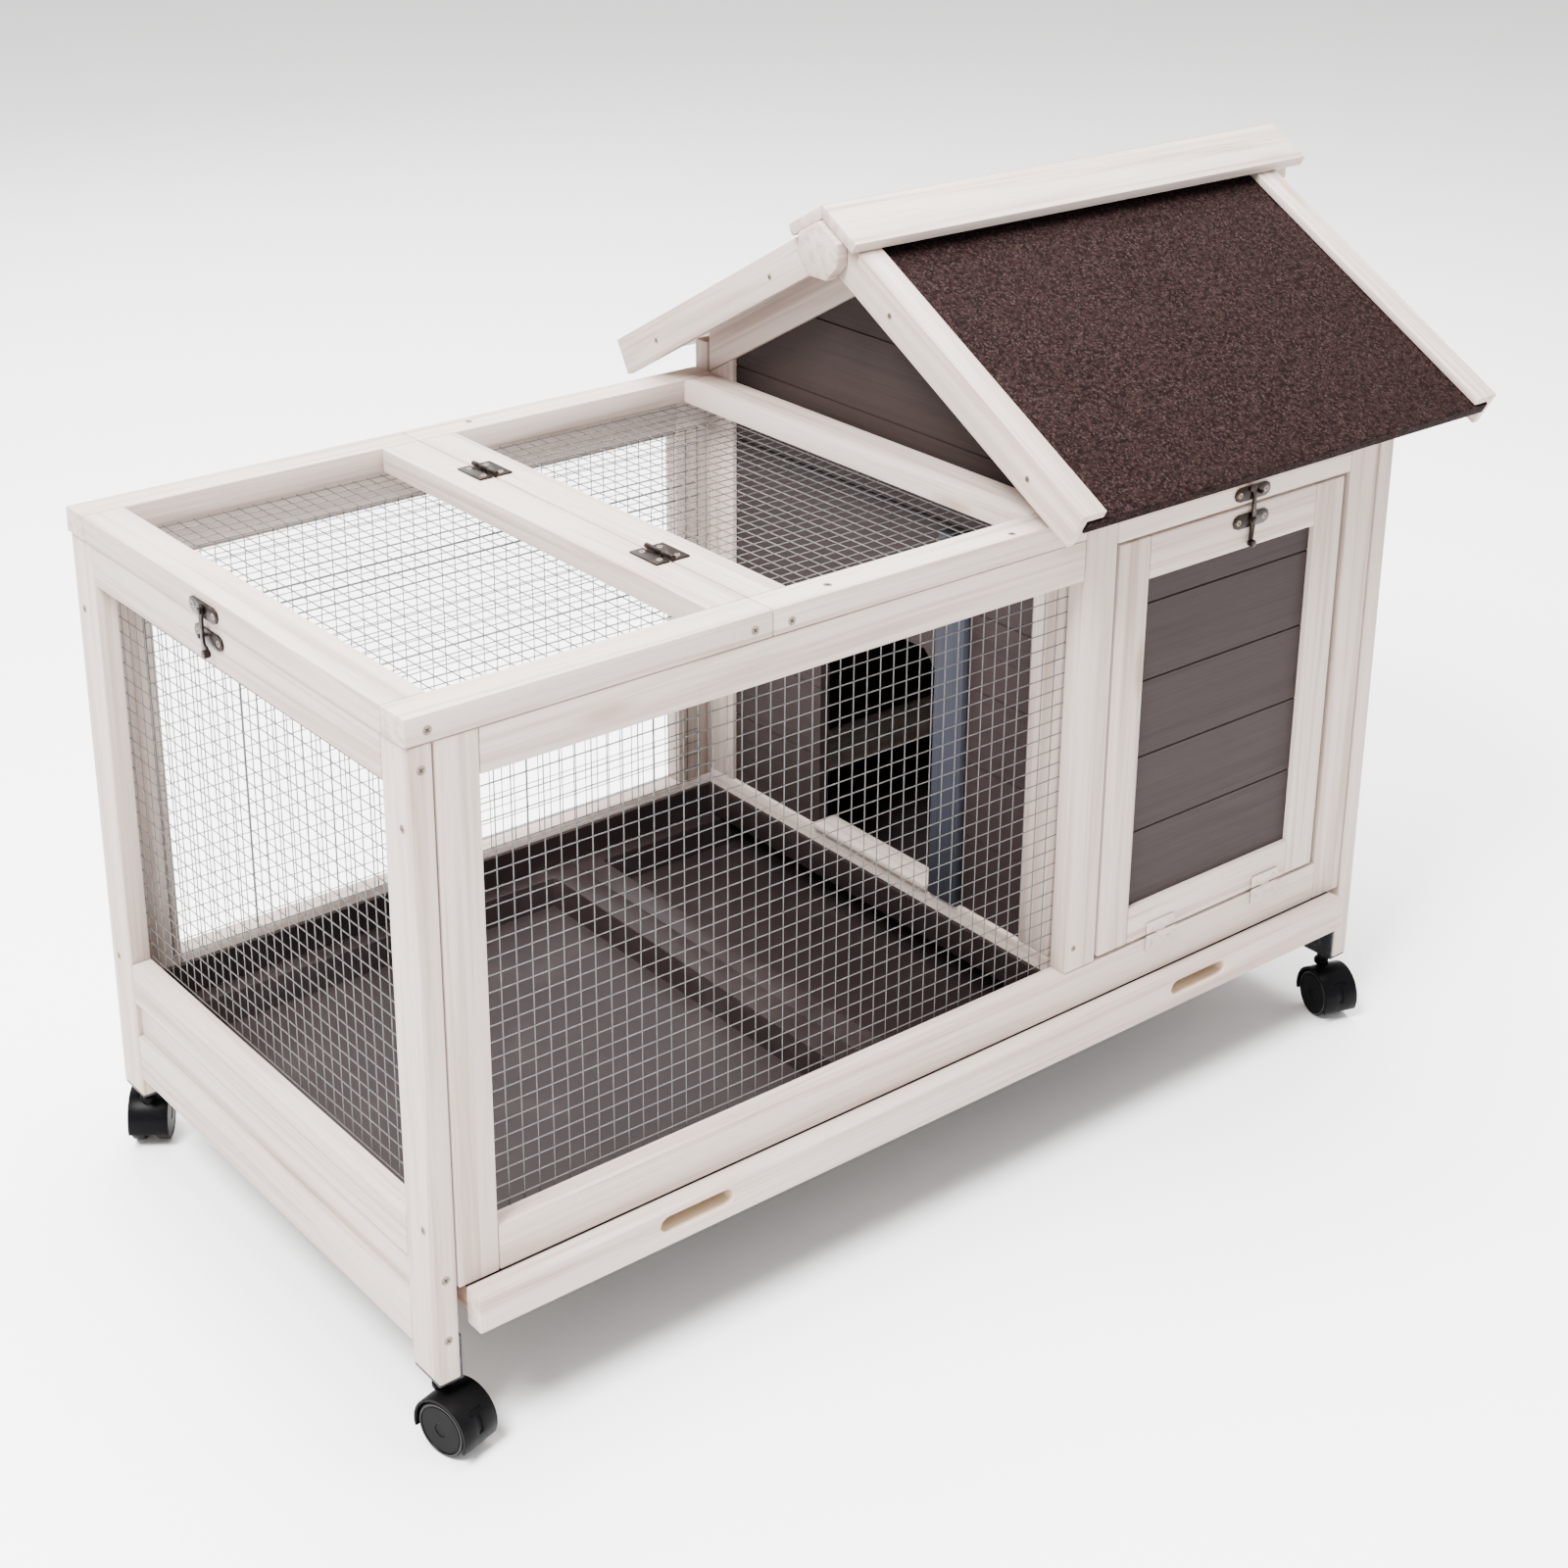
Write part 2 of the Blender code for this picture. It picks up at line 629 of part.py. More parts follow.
def gable_panel(name, x, y, low, doorway, groove_x):
    """Grey boards filling a gabled wall, grooved on the face at groove_x."""
    cut = RAIL + GAP
    outline = [(y[0], low)]
    if doorway:
        c = DOORWAY_CHAMFER
        outline += [(DOORWAY_FRONT, low), (DOORWAY_FRONT, DOORWAY_TOP - c), (DOORWAY_FRONT + c, DOORWAY_TOP),
                    (DOORWAY_BACK - c, DOORWAY_TOP), (DOORWAY_BACK, DOORWAY_TOP - c), (DOORWAY_BACK, low)]
    outline += [(y[1], low), (y[1], under_slope(y[1], cut)), (RIDGE_Y, under_slope(RIDGE_Y, cut)),
                (y[0], under_slope(y[0], cut))]
    bm = bmesh.new()
    add_yz_prism(bm, outline, *x)
    panel = finish(name, bm, grey_wood(name), (CENTRE_X, CENTRE_Y, 0.0))
    for joint in board_joints(low, under_slope(RIDGE_Y, cut) - 20):
        cutter = bmesh.new()
        add_xz_prism(cutter, [(groove_x - GROOVE, joint), (groove_x, joint - GROOVE / 2),
                              (groove_x + GROOVE, joint), (groove_x, joint + GROOVE / 2)], y[0] - 5, y[1] + 5)
        groove = finish(name + "_groove", cutter, grey_wood("groove"), (CENTRE_X, CENTRE_Y, 0.0))
        combine(panel, groove, "DIFFERENCE")


def build_partition():
    x = (HOUSE_LEFT, HOUSE_LEFT + BOARD)
    front, back = 20.0, BODY_DEPTH - 20.0
    name = "partition_frame"

    def stile(y0, y1):
        return lambda bm: add_yz_prism(bm, [(y0, FLOOR_RAIL_TOP - 1), (y1, FLOOR_RAIL_TOP - 1),
                                            (y1, under_slope(y1, RAIL - 1)), (y0, under_slope(y0, RAIL - 1))], *x)

    fused(name, white_wood(name), [
        box_fill(x, (front, back), (RAIL_LOW, FLOOR_RAIL_TOP)),
        stile(front, front + RAIL),
        stile(back - RAIL, back),
    ] + gable_rails(x, front, back) + [
        box_fill((x[0] - 4, x[1] + 4), (DOORWAY_FRONT + GAP, DOORWAY_BACK - GAP),
                 (FLOOR_RAIL_TOP - 1, FLOOR_RAIL_TOP + 6)),
        box_fill((x[0] - 3, x[0] + 4 - GAP), (DOORWAY_FRONT - 36, DOORWAY_FRONT - 2),
                 (FLOOR_RAIL_TOP - 2, 500.0)),
    ])
    gable_panel("partition_boards", (x[0] + 4, x[0] + 14), (front + RAIL + GAP, back - RAIL - GAP),
                FLOOR_RAIL_TOP + GAP, True, x[0] + 4)


def build_right_end():
    x = (BODY_LENGTH - BOARD, BODY_LENGTH)
    front, back = POST_WIDTH + GAP, BODY_DEPTH - POST_WIDTH - GAP
    name = "right_end_frame"

    def stile(y0, y1):
        return lambda bm: add_yz_prism(bm, [(y0, RAIL_LOW_TOP - 1), (y1, RAIL_LOW_TOP - 1),
                                            (y1, under_slope(y1, RAIL - 1)), (y0, under_slope(y0, RAIL - 1))], *x)

    fused(name, white_wood(name), [
        box_fill(x, (front, back), (RAIL_LOW, RAIL_LOW_TOP)),
        stile(front, front + 20.0),
        stile(back - 20.0, back),
    ] + gable_rails(x, front, back) + [
        box_fill((x[0], x[1] - 4), (front, back), (114.0, RAIL_LOW + 1)),
        box_fill(x, (front, back), (75.0, 115.0)),
        box_fill((BODY_LENGTH - RUNNER_REACH, x[0] + 1), (front, back), RUNNER),
    ])
    gable_panel("right_end_boards", (x[0] + 3, x[0] + 13), (front + 20 + GAP, back - 20 - GAP),
                RAIL_LOW_TOP + GAP, False, x[0] + 13)


def build_door():
    deep = (0.0, BOARD - 3)
    pivot = (CENTRE_X, DOOR_AXIS_Y, DOOR_AXIS_Z)
    z = (DOOR_LOW, DOOR_HIGH)
    left, right = DOOR_LEFT + RAIL, DOOR_RIGHT - RAIL
    low, high = DOOR_LOW + 32, DOOR_HIGH - 36
    name = "door_frame"
    fused(name, white_wood(name), (
        box_fill((DOOR_LEFT, left), deep, z),
        box_fill((left - 1, right + 1), deep, (DOOR_LOW, low)),
        box_fill((left - 1, right + 1), deep, (high, DOOR_HIGH)),
        box_fill((right, DOOR_RIGHT), deep, z),
    ), pivot)
    board_panel("door_boards", (left + GAP, right - GAP), (5.0, 12.0), (low + GAP, high - GAP), True, pivot)


# Drawer


def build_drawer():
    name = "drawer_front"
    bm = bmesh.new()
    add_box(bm, (DRAWER_LEFT, DRAWER_RIGHT), (DRAWER_FRONT, 2.0), (DRAWER_LOW, DRAWER_HIGH))
    front = finish(name, bm, white_wood(name))
    for centre in SLOT_CENTRES:
        cutter = bmesh.new()
        add_xz_prism(cutter, stadium((centre, SLOT_Z), SLOT_LENGTH, SLOT_HEIGHT), DRAWER_FRONT - 5, 7.0)
        combine(front, finish(name + "_slot", cutter, white_wood("slot")), "DIFFERENCE")
    low, high = RUNNER[1] + GAP, DRAWER_HIGH - 2.3
    back = 465.0
    name = "drawer_frame"
    fused(name, material(name + "_pine", (0.42, 0.29, 0.21), 0.7), (
        box_fill((26.0, 40.0), (2.0 + GAP, back), (low, high)),
        box_fill((39.0, 909.0), (back - 13, back), (low, high)),
        box_fill((TRAY_SPLIT - 7, TRAY_SPLIT + 7), (2.0 + GAP, back - 12), (low, high)),
        box_fill((908.0, 922.0), (2.0 + GAP, back), (low, high)),
    ))
    plastic = (0.075, 0.05, 0.045)
    for side, x0, x1 in (("left", 26.0, TRAY_SPLIT - GAP), ("right", TRAY_SPLIT + GAP, 922.0)):
        name = "tray_" + side
        bm = bmesh.new()
        inner0, inner1 = x0 + 26, x1 - 26
        rings = (
            ((x0, x1), (2.0 + GAP, back), DRAWER_HIGH),
            ((inner0, inner1), (46.0, 447.0), DRAWER_HIGH),
            ((inner0 + 3, inner1 - 3), (49.0, 444.0), 101.0),
        )
        under = (
            ((x0, x1), (2.0 + GAP, back), DRAWER_HIGH - 2),
            ((inner0 - 2, inner1 + 2), (44.0, 449.0), DRAWER_HIGH - 2),
            ((inner0 + 1, inner1 - 1), (47.0, 446.0), 99.0),
        )
        loops = []
        for x, y, z in rings[::-1] + under:
            corners = ((x[0], y[0]), (x[1], y[0]), (x[1], y[1]), (x[0], y[1]))
            loops.append([bm.verts.new(world(a, b, z)) for a, b in corners])
        for one, two in zip(loops, loops[1:]):
            for i in range(4):
                j = (i + 1) % 4
                bm.faces.new((one[i], one[j], two[j], two[i]))
        bm.faces.new(loops[0])
        bm.faces.new(loops[-1][::-1])
        finish(name, bm, material(name + "_brown_plastic", plastic, 0.25))


def build_kick_board():
    low = DRAWER_HIGH + 1
    name = "kick_board"
    fused(name, material(name + "_brown", (0.075, 0.05, 0.045), 0.4), (
        box_fill((20.3, 24.3), (20.0, 466.8), (low, 158.0)),
        box_fill((24.0, HOUSE_LEFT - 1), (463.0, 466.8), (low, 158.0)),
        box_fill((HOUSE_LEFT - 4.3, HOUSE_LEFT - GAP), (20.0, 466.8), (low, 158.0)),
    ))


# Casters


def build_casters():
    black = (0.02, 0.02, 0.022)
    for corner, x, y, angle in CASTERS:
        name = "caster_bracket_" + corner
        wide = (y - STEM_Y + 1, y + STEM_Y - 1)
        foot, inner = (0.5, BOARD + GAP + BRACKET), (BOARD + GAP, BOARD + GAP + BRACKET)
        if corner.endswith("right"):
            foot, inner = [(BODY_LENGTH - b, BODY_LENGTH - a) for a, b in (foot, inner)]
        fused(name, material(name + "_black_steel", black, 0.5, 0.6), (
            box_fill(foot, wide, (FOOT - GAP - BRACKET, FOOT - GAP)),
            box_fill(inner, wide, (FOOT - GAP - BRACKET, BRACKET_TOP)),
        ))
        turn = Matrix.Rotation(math.radians(angle), 4, "Z")
        stem = world(x, y, 0)

        def place(axle, roll, z):
            """axle runs along the axle from the middle, roll from the stem towards the trail."""
            return stem + turn @ Vector((axle * MM, -roll * MM, z * MM))

        build_hood("caster_hood_" + corner, place, (x, y, FOOT - 3), black)
        build_wheels("caster_wheels_" + corner, place, black)


def build_wheels(name, place, colour):
    """Twin wheels on one axle."""
    near = WEB / 2 + GAP
    far = near + WHEEL_WIDTH

    def disc(radius, count, low, high):
        flats = radius / math.cos(math.pi / count)
        ring = circle((CASTER_TRAIL, WHEEL_RADIUS), flats, count, math.pi / count - math.pi / 2)
        return lambda bm: add_prism(bm, [place(low, r, z) for r, z in ring],
                                    [place(high, r, z) for r, z in ring])

    hub = place(0, CASTER_TRAIL, WHEEL_RADIUS)
    pivot = (hub.x / MM + CENTRE_X, hub.y / MM + CENTRE_Y, WHEEL_RADIUS)
    fused(name, material(name + "_black_nylon", colour, 0.45), (
        disc(WHEEL_RADIUS, 20, -far, -near),
        disc(AXLE, 8, -near - 2, near + 2),
        disc(WHEEL_RADIUS, 20, near, far),
    ), pivot)


def build_hood(name, place, pivot, colour):
    """The swivelling body: a stem, a web between the wheels and a cover over them."""
    inner, outer = WHEEL_RADIUS + 1.2, WHEEL_RADIUS + 3.4
    half = WEB / 2 + GAP + WHEEL_WIDTH + 1
    web = WEB / 2
    start, stop, count = math.radians(-25), math.radians(195), 11
    angles = [start + (stop - start) * i / count for i in range(count + 1)]

    def on(radius, angle, axle):
        return place(axle, CASTER_TRAIL + radius * math.cos(angle), WHEEL_RADIUS + radius * math.sin(angle))

    bm = bmesh.new()
    rings = {(a, r): [bm.verts.new(on(r, t, a)) for t in angles]
             for a, r in ((-half, outer), (half, outer), (-half, inner), (-web, inner),
                          (web, inner), (half, inner))}

    def strip(one, two):
        for i in range(count):
            bm.faces.new((one[i], one[i + 1], two[i + 1], two[i]))

    strip(rings[-half, outer], rings[half, outer])
    strip(rings[-half, inner], rings[-web, inner])
    strip(rings[web, inner], rings[half, inner])
    strip(rings[-half, outer], rings[-half, inner])
    strip(rings[half, outer], rings[half, inner])
    for axle in (-web, web):
        bm.faces.new(rings[axle, inner])
    bm.faces.new([rings[-web, inner][0], rings[web, inner][0], rings[web, inner][-1], rings[-web, inner][-1]])
    for i in (0, -1):
        bm.faces.new([rings[-half, outer][i], rings[half, outer][i], rings[half, inner][i],
                      rings[web, inner][i], rings[-web, inner][i], rings[-half, inner][i]])
    mat = material(name + "_black_nylon", colour, 0.4)
    hood = finish(name, bm, mat, pivot)
    stem = bmesh.new()
    ring = circle((0.0, 0.0), STEM_RADIUS, 10, math.pi / 10)
    add_prism(stem, [place(a, b, 36.0) for a, b in ring], [place(a, b, FOOT - 2.6) for a, b in ring])
    combine(hood, finish(name + "_stem", stem, mat, pivot), "UNION")
    hole = bmesh.new()
    corner = math.cos(math.pi / 8)
    ring = circle((CASTER_TRAIL, WHEEL_RADIUS), (AXLE / corner + GAP) / corner, 8, math.pi / 8 - math.pi / 2)
    add_prism(hole, [place(-web - 1, r, z) for r, z in ring], [place(web + 1, r, z) for r, z in ring])
    combine(hood, finish(name + "_hole", hole, mat, pivot), "DIFFERENCE")


clear_scene()
build_posts()
build_front()
build_back()
build_left_end()
build_tops()
build_hinges()
build_latches()
build_roof()
build_partition()
build_right_end()
build_door()
build_drawer()
build_kick_board()
build_casters()
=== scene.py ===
"""Looks for the rabbit hutch: painted boards, felt roof, welded mesh, bronze fittings and casters.

Millimetres in the code are measured from the hutch's front left corner, as the CAD part's are:
x to the right, y to the back, z up from the floor.
"""

import math

import bmesh
import bpy
from mathutils import Matrix, Vector
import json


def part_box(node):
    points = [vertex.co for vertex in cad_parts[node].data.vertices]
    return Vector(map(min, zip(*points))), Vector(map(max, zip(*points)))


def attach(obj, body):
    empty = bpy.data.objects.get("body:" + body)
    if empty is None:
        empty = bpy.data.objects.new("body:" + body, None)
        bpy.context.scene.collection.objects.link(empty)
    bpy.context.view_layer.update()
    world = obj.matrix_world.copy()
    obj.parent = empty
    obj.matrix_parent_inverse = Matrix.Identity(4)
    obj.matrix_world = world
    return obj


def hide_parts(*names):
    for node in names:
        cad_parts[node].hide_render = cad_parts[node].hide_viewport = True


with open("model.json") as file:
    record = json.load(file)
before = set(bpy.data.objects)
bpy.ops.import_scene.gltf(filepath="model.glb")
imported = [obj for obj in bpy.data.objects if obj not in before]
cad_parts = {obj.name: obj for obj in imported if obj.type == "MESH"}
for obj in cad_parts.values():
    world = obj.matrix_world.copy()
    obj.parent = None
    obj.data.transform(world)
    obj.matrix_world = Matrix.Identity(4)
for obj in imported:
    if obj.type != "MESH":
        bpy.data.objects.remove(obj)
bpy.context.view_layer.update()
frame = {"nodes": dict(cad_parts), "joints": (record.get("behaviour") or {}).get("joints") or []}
JOINTS = {joint["name"]: joint for joint in frame["joints"]}

MM = 0.001
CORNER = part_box("post_front_left")[0]
CORNER.z = 0.0

# Clearances: between separate parts, and between the boards of one frame
GAP, SEAM = 0.3, 0.25

# Body
BODY_LENGTH, BODY_DEPTH, BOARD, RAIL = 952.0, 487.0, 17.0, 34.0
RUN_LEFT, STILE_RIGHT, HOUSE_LEFT, BAY_RIGHT = 18.7, 51.4, 590.0, 932.0
RAIL_LOW, RAIL_LOW_TOP, RAIL_HIGH, BACK_RAIL_LOW = 130.0, 165.0, 505.0, 112.0
POST_WIDTH, POST_TOP, WALL_TOP = 34.5, 538.0, 584.0
TOP_LOW, TOP_HIGH, TOP_FRONT_WIDTH, SPLIT = 538.3, 558.3, 28.5, 288.0
LID_LEFT, LID_FRONT = -2.5, -0.5

# Ends: rails, the set-back filler under them, the side board below it, the drawer's runner, gable uprights
END_TOP_LOW, END_RAIL_LOW, END_RAIL_TOP, FILLER_BACK = 504.0, 145.0, 180.0, 4.0
SIDE_LOW, SIDE_TOP, RUNNER_INNER, RUNNER_LOW, RUNNER_TOP = 75.0, 115.0, 40.0, 98.0, 107.7
END_UPRIGHT, UPRIGHT_TOP = 20.0, 640.0

# Partition: its lower rail, the sill of the doorway and the batten beside it
PARTITION_INSET, PARTITION_RAIL_TOP = 20.0, 172.0
SILL_FRONT, SILL_BACK, SILL_TOP, SILL_PROUD = 163.3, 312.7, 178.0, 4.0
BATTEN_FRONT, BATTEN_BACK, BATTEN_TOP, BATTEN_PROUD, BATTEN_DEPTH = 127.0, 161.0, 500.0, 3.0, 3.7

# Door and the header above it
DOOR_LEFT, DOOR_RIGHT, DOOR_LOW, DOOR_HIGH, DOOR_BOARD = 627.5, 890.7, 167.9, 525.0, 14.0
DOOR_LOW_RAIL, DOOR_TOP_RAIL, HEADER_LOW, HEADER_TOP = 32.0, 36.0, 527.0, 562.0

# Roof: heights are square to the slope, from a plane through the ridge; UNDER_ROOF is a drop below it
RIDGE_Y, RIDGE_Z, SLOPE, SLOPE_LENGTH = BODY_DEPTH / 2, 746.0, math.radians(29.7), 333.0
ROOF_LEFT, ROOF_RIGHT, CAP_LEFT, CAP_RIGHT = 537.6, 1022.5, 530.0, 1055.0
BARGE_DEPTH, BARGE_TOP_WIDTH, BARGE_SIDE, BARGE_TOP = 32.5, 24.5, 7.5, 7.0
CAP_WIDTH, CAP_THICK = 42.0, 10.0
UNDER_ROOF, DECK_LOW, DECK_TOP, DECK_SIDE, DECK_SHORT = 18.6, -18.0, -9.5, 0.5, 2.5
FELT_LOW, FELT_TOP, FELT_PAST, HEM_TOP, HEM_WIDTH = -9.3, -7.3, 1.5, -8.0, 2.2
# Sloping boards and panels start this far past the ridge and are cut at it; rails also run on past the eave
PAST_RIDGE, PANEL_PAST_RIDGE, SLOPE_RAIL_END = 30.0, 20.0, 340.0

# Wire mesh: the layers are the wires' depths from the panel's near face
PITCH, WIRE, WIRE_RADIUS, LAYER_ONE, LAYER_TWO = 12.7, 1.0, 0.45, 0.5, 1.4

# Screws and leaves: taper, rim and cross width are parts of a head's radius; its turn is radians per metre
# along x. Latch plates are as thick as the bronze leaves.
HEAD_THICK, HEAD_TAPER, HEAD_RIM, HEAD_DISH, HEAD_TURN = 0.5, 0.78, 0.12, 0.08, 60.0
CROSS_WIDTH, CROSS_THICK, CROSS_HEIGHT = 0.26, 0.1, 0.2
LEAF_THICK, PAINTED_LEAF_THICK, LEAF_SHIFT, SCREW_INSET = 1.7, 1.9, 1.5, 6.0
LEAF_SCREW, PAINTED_SCREW, BARGE_SCREW, BARGE_SCREWS_AT = 2.6, 2.4, 3.0, (95.0, 275.0)

# Casters: hood and web radii are from the hub, half widths are along the axle
WHEEL_RADIUS, WHEEL_NEAR, WHEEL_FAR, TREAD_BEVEL, AXLE_RADIUS, AXLE_HALF = 21.0, 4.3, 15.3, 1.6, 2.5, 5.0
HOOD_INNER, HOOD_OUTER, HOOD_HALF, HOOD_STEPS = 22.2, 24.4, 16.3, 44
HOOD_FROM, HOOD_SWEEP = math.radians(-25), math.radians(220)
WEB_INNER, WEB_OUTER, WEB_HALF = 3.4, 22.4, 4.0
# The hood's T-shaped recess: degrees around the hub where its stem starts, its bar starts and both end,
# then half widths and depth. The pin's and the collar's heights are from the floor.
STEM_FROM, BAR_FROM, BAR_TO, STEM_HALF, BAR_HALF, RECESS_DEPTH = 2, 33, 44, 2.2, 6.0, 1.5
PIN_LOW, PIN_TOP, PIN_RADIUS, COLLAR_LOW, COLLAR_TOP, COLLAR_RADIUS = 36.0, 54.6, 4.1, 43.5, 47.5, 6.5
# Steps of a wheel's outer face from the rim inwards: width, height outwards, 1 for the pale ring that is a
# painted highlight on the rim
WHEEL_STEPS = ((0.5, 0.0, 1), (0.5, -0.7, 0), (0.8, 0.0, 0), (0.6, 0.5, 0), (11.5, 0.0, 0), (0.5, -0.5, 0))

# Drawer front: its two hand slots
SLOT_CENTRES, SLOT_Z, SLOT_HALF_LENGTH, SLOT_HALF_HEIGHT = (210.0, 737.0), 116.0, 33.5, 6.8

# Studio: metres and watts; each light has a name, a place, a size and a power
FLOOR_SIZE, FLOOR_DROP, FLOOR_GREY, WORLD_STRENGTH, LIGHTS_AIM = 30.0, 0.0005, 0.97, 1.08, (0, 0, 0.35)
LIGHTS = (("key", (-2.3, -0.8, 3.6), 1.3, 600.0), ("fill", (2.8, -2.2, 2.2), 2.5, 12.0),
          ("top", (0.3, 0.4, 3.4), 2.6, 480.0), ("rim", (0.5, 3.0, 2.2), 2.4, 60.0))
# Camera: its place is in millimetres from the hutch's corner
CAMERA_AZIMUTH, CAMERA_ELEVATION = math.radians(-38.887), math.radians(20.904)
CAMERA_ROLL = math.radians(0.335)
CAMERA_PLACE, LENS, SHIFT_X, SHIFT_Y = (-715.3, -1244.4, 1212.8), 58.46, 0.0063, -0.15


def at(x, y, z):
    """A corner-measured millimetre position in the row frame."""
    return CORNER + Vector((x, y, z)) * MM


# Materials


class Value:
    """A number in a material: arithmetic on it adds Math nodes."""

    def __init__(self, finish, socket):
        self.finish, self.socket = finish, socket

    def math(self, operation, other, swapped=False):
        pair = [self.socket, other.socket if isinstance(other, Value) else other]
        if swapped:
            pair.reverse()
        node = self.finish.node("Math", {"operation": operation}, dict(enumerate(pair)))
        return Value(self.finish, node.outputs[0])

    def __add__(self, other):
        return self.math("ADD", other)

    def __sub__(self, other):
        return self.math("SUBTRACT", other)

    def __rsub__(self, other):
        return self.math("SUBTRACT", other, True)

    def __mul__(self, other):
        return self.math("MULTIPLY", other)

    def __gt__(self, other):
        return self.math("GREATER_THAN", other)

    __radd__, __rmul__ = __add__, __mul__


class Finish:
    """A Principled material and the nodes that vary it over the surface."""

    def __init__(self, name, **sockets):
        self.material = bpy.data.materials.new(name)
        self.material.use_nodes = True
        self.tree = self.material.node_tree
        self.shader = self.tree.nodes["Principled BSDF"]
        for socket, value in sockets.items():
            self.shader.inputs[socket.replace("_", " ")].default_value = value

    def node(self, kind, settings=None, inputs=None):
        made = self.tree.nodes.new("ShaderNode" + kind)
        for key, value in (settings or {}).items():
            setattr(made, key, value)
        for key, value in (inputs or {}).items():
            value = value.socket if isinstance(value, Value) else value
            if isinstance(value, bpy.types.NodeSocket):
                self.tree.links.new(value, made.inputs[key])
            else:
                made.inputs[key].default_value = value
        return made

    def feed(self, **sockets):
        for name, value in sockets.items():
            value = value.socket if isinstance(value, Value) else value
            self.tree.links.new(value, self.shader.inputs[name.replace("_", " ")])

    def place(self, scale, turn=0.0):
        """Object coordinates turned about X, then scaled."""
        point = self.node("TexCoord").outputs["Object"]
        if turn:
            point = self.node("Mapping", inputs={"Vector": point, "Rotation": (turn, 0.0, 0.0)}).outputs[0]
        return self.node("Mapping", inputs={"Vector": point, "Scale": scale}).outputs[0]

    def noise(self, scale, turn=0.0, detail=4.0, rough=0.55, distortion=0.0):
        made = self.node("TexNoise", inputs={"Vector": self.place(scale, turn), "Scale": 1.0,
                                             "Detail": detail, "Roughness": rough, "Distortion": distortion})
        return Value(self, made.outputs["Fac"])

    def ramp(self, value, low, high):
        """0 below low, 1 above high, smooth between."""
        made = self.node("MapRange", {"interpolation_type": "SMOOTHSTEP"},
                         {"Value": value, "From Min": low, "From Max": high})
        return Value(self, made.outputs["Result"])

    def blend(self, factor, one, two):
        made = self.node("Mix", {"data_type": "RGBA"}, {0: factor, 6: one, 7: two})
        return made.outputs[2]

    def bump(self, height, distance, strength):
        made = self.node("Bump", inputs={"Height": height, "Distance": distance, "Strength": strength})
        self.feed(Normal=made.outputs[0])


def rgb(red, green, blue):
    return (red, green, blue, 1.0)


def grain_scale(axis, along, across):
    return tuple(along if i == axis else across for i in range(3))


def wood(name, axis, turn, pale, dark, knot, roughness, streak):
    """Painted softwood: long streaks where the grain shows through, fine fibres and a few knots."""
    look = Finish(name, Roughness=roughness, Specular_IOR_Level=0.15)
    broad = look.noise(grain_scale(axis, 2.2, 95.0), turn, 4.0, 0.6, 0.6)
    fibre = look.noise(grain_scale(axis, 9.0, 620.0), turn, 3.0, 0.6)
    patch = look.noise((5.0, 5.0, 5.0), 0.0, 2.0)
    cells = look.place(grain_scale(axis, 5.5, 22.0), turn)
    cell = look.node("TexVoronoi", inputs={"Vector": cells, "Scale": 1.0})
    spot = 1.0 - look.ramp(Value(look, cell.outputs["Distance"]), 0.05, 0.2)
    tint = look.node("SeparateColor", inputs={0: cell.outputs["Color"]})
    knots = spot * (Value(look, tint.outputs[0]) > 0.72)
    streaks = look.ramp(broad, 0.42, 0.72) * streak + look.ramp(fibre, 0.5, 0.8) * (streak * 0.55)
    colour = look.blend(streaks + (patch - 0.5) * 0.25, pale, dark)
    look.feed(Base_Color=look.blend(knots * 0.55, colour, knot))
    look.feed(Roughness=fibre * 0.22 + (roughness - 0.11))
    look.bump(broad * 0.6 + fibre * 0.5 - knots * 0.3, 0.0005, 0.55)
    return look.material


def felt():
    """Mineral felt: dark clumps of grit with pale flecks and a faint cloudiness."""
    look = Finish("mineral_felt", Roughness=0.95, Specular_IOR_Level=0.04)
    grain = look.node("TexVoronoi", inputs={"Vector": look.place((760.0, 760.0, 760.0)), "Scale": 1.0})
    tone = Value(look, look.node("SeparateColor", inputs={0: grain.outputs["Color"]}).outputs[0])
    clump = look.noise((260.0, 260.0, 260.0), 0.0, 3.0, 0.7)
    cloud = look.noise((9.0, 9.0, 9.0), 0.0, 3.0)
    base = look.blend(look.ramp(clump, 0.38, 0.64), rgb(0.0036, 0.0016, 0.0015), rgb(0.0160, 0.0082, 0.0077))
    flecked = look.blend((tone > 0.86) * 0.45, base, rgb(0.045, 0.029, 0.027))
    look.feed(Base_Color=look.blend((cloud - 0.35) * 0.3, flecked, rgb(0.022, 0.0125, 0.012)))
    look.feed(Roughness=clump * 0.2 + 0.78)
    look.bump(clump + tone * 0.5, 0.0011, 0.8)
    return look.material


def metal(name, colour, worn, roughness, metallic):
    """Metal in one colour with blotches of another where it is worn."""
    look = Finish(name, Roughness=roughness, Metallic=metallic)
    blotch = look.noise((180.0, 180.0, 180.0), 0.0, 4.0, 0.65)
    look.feed(Base_Color=look.blend(look.ramp(blotch, 0.5, 0.75), colour, worn))
    look.feed(Roughness=blotch * 0.3 + (roughness - 0.15))
    look.bump(blotch, 0.0002, 0.4)
    return look.material


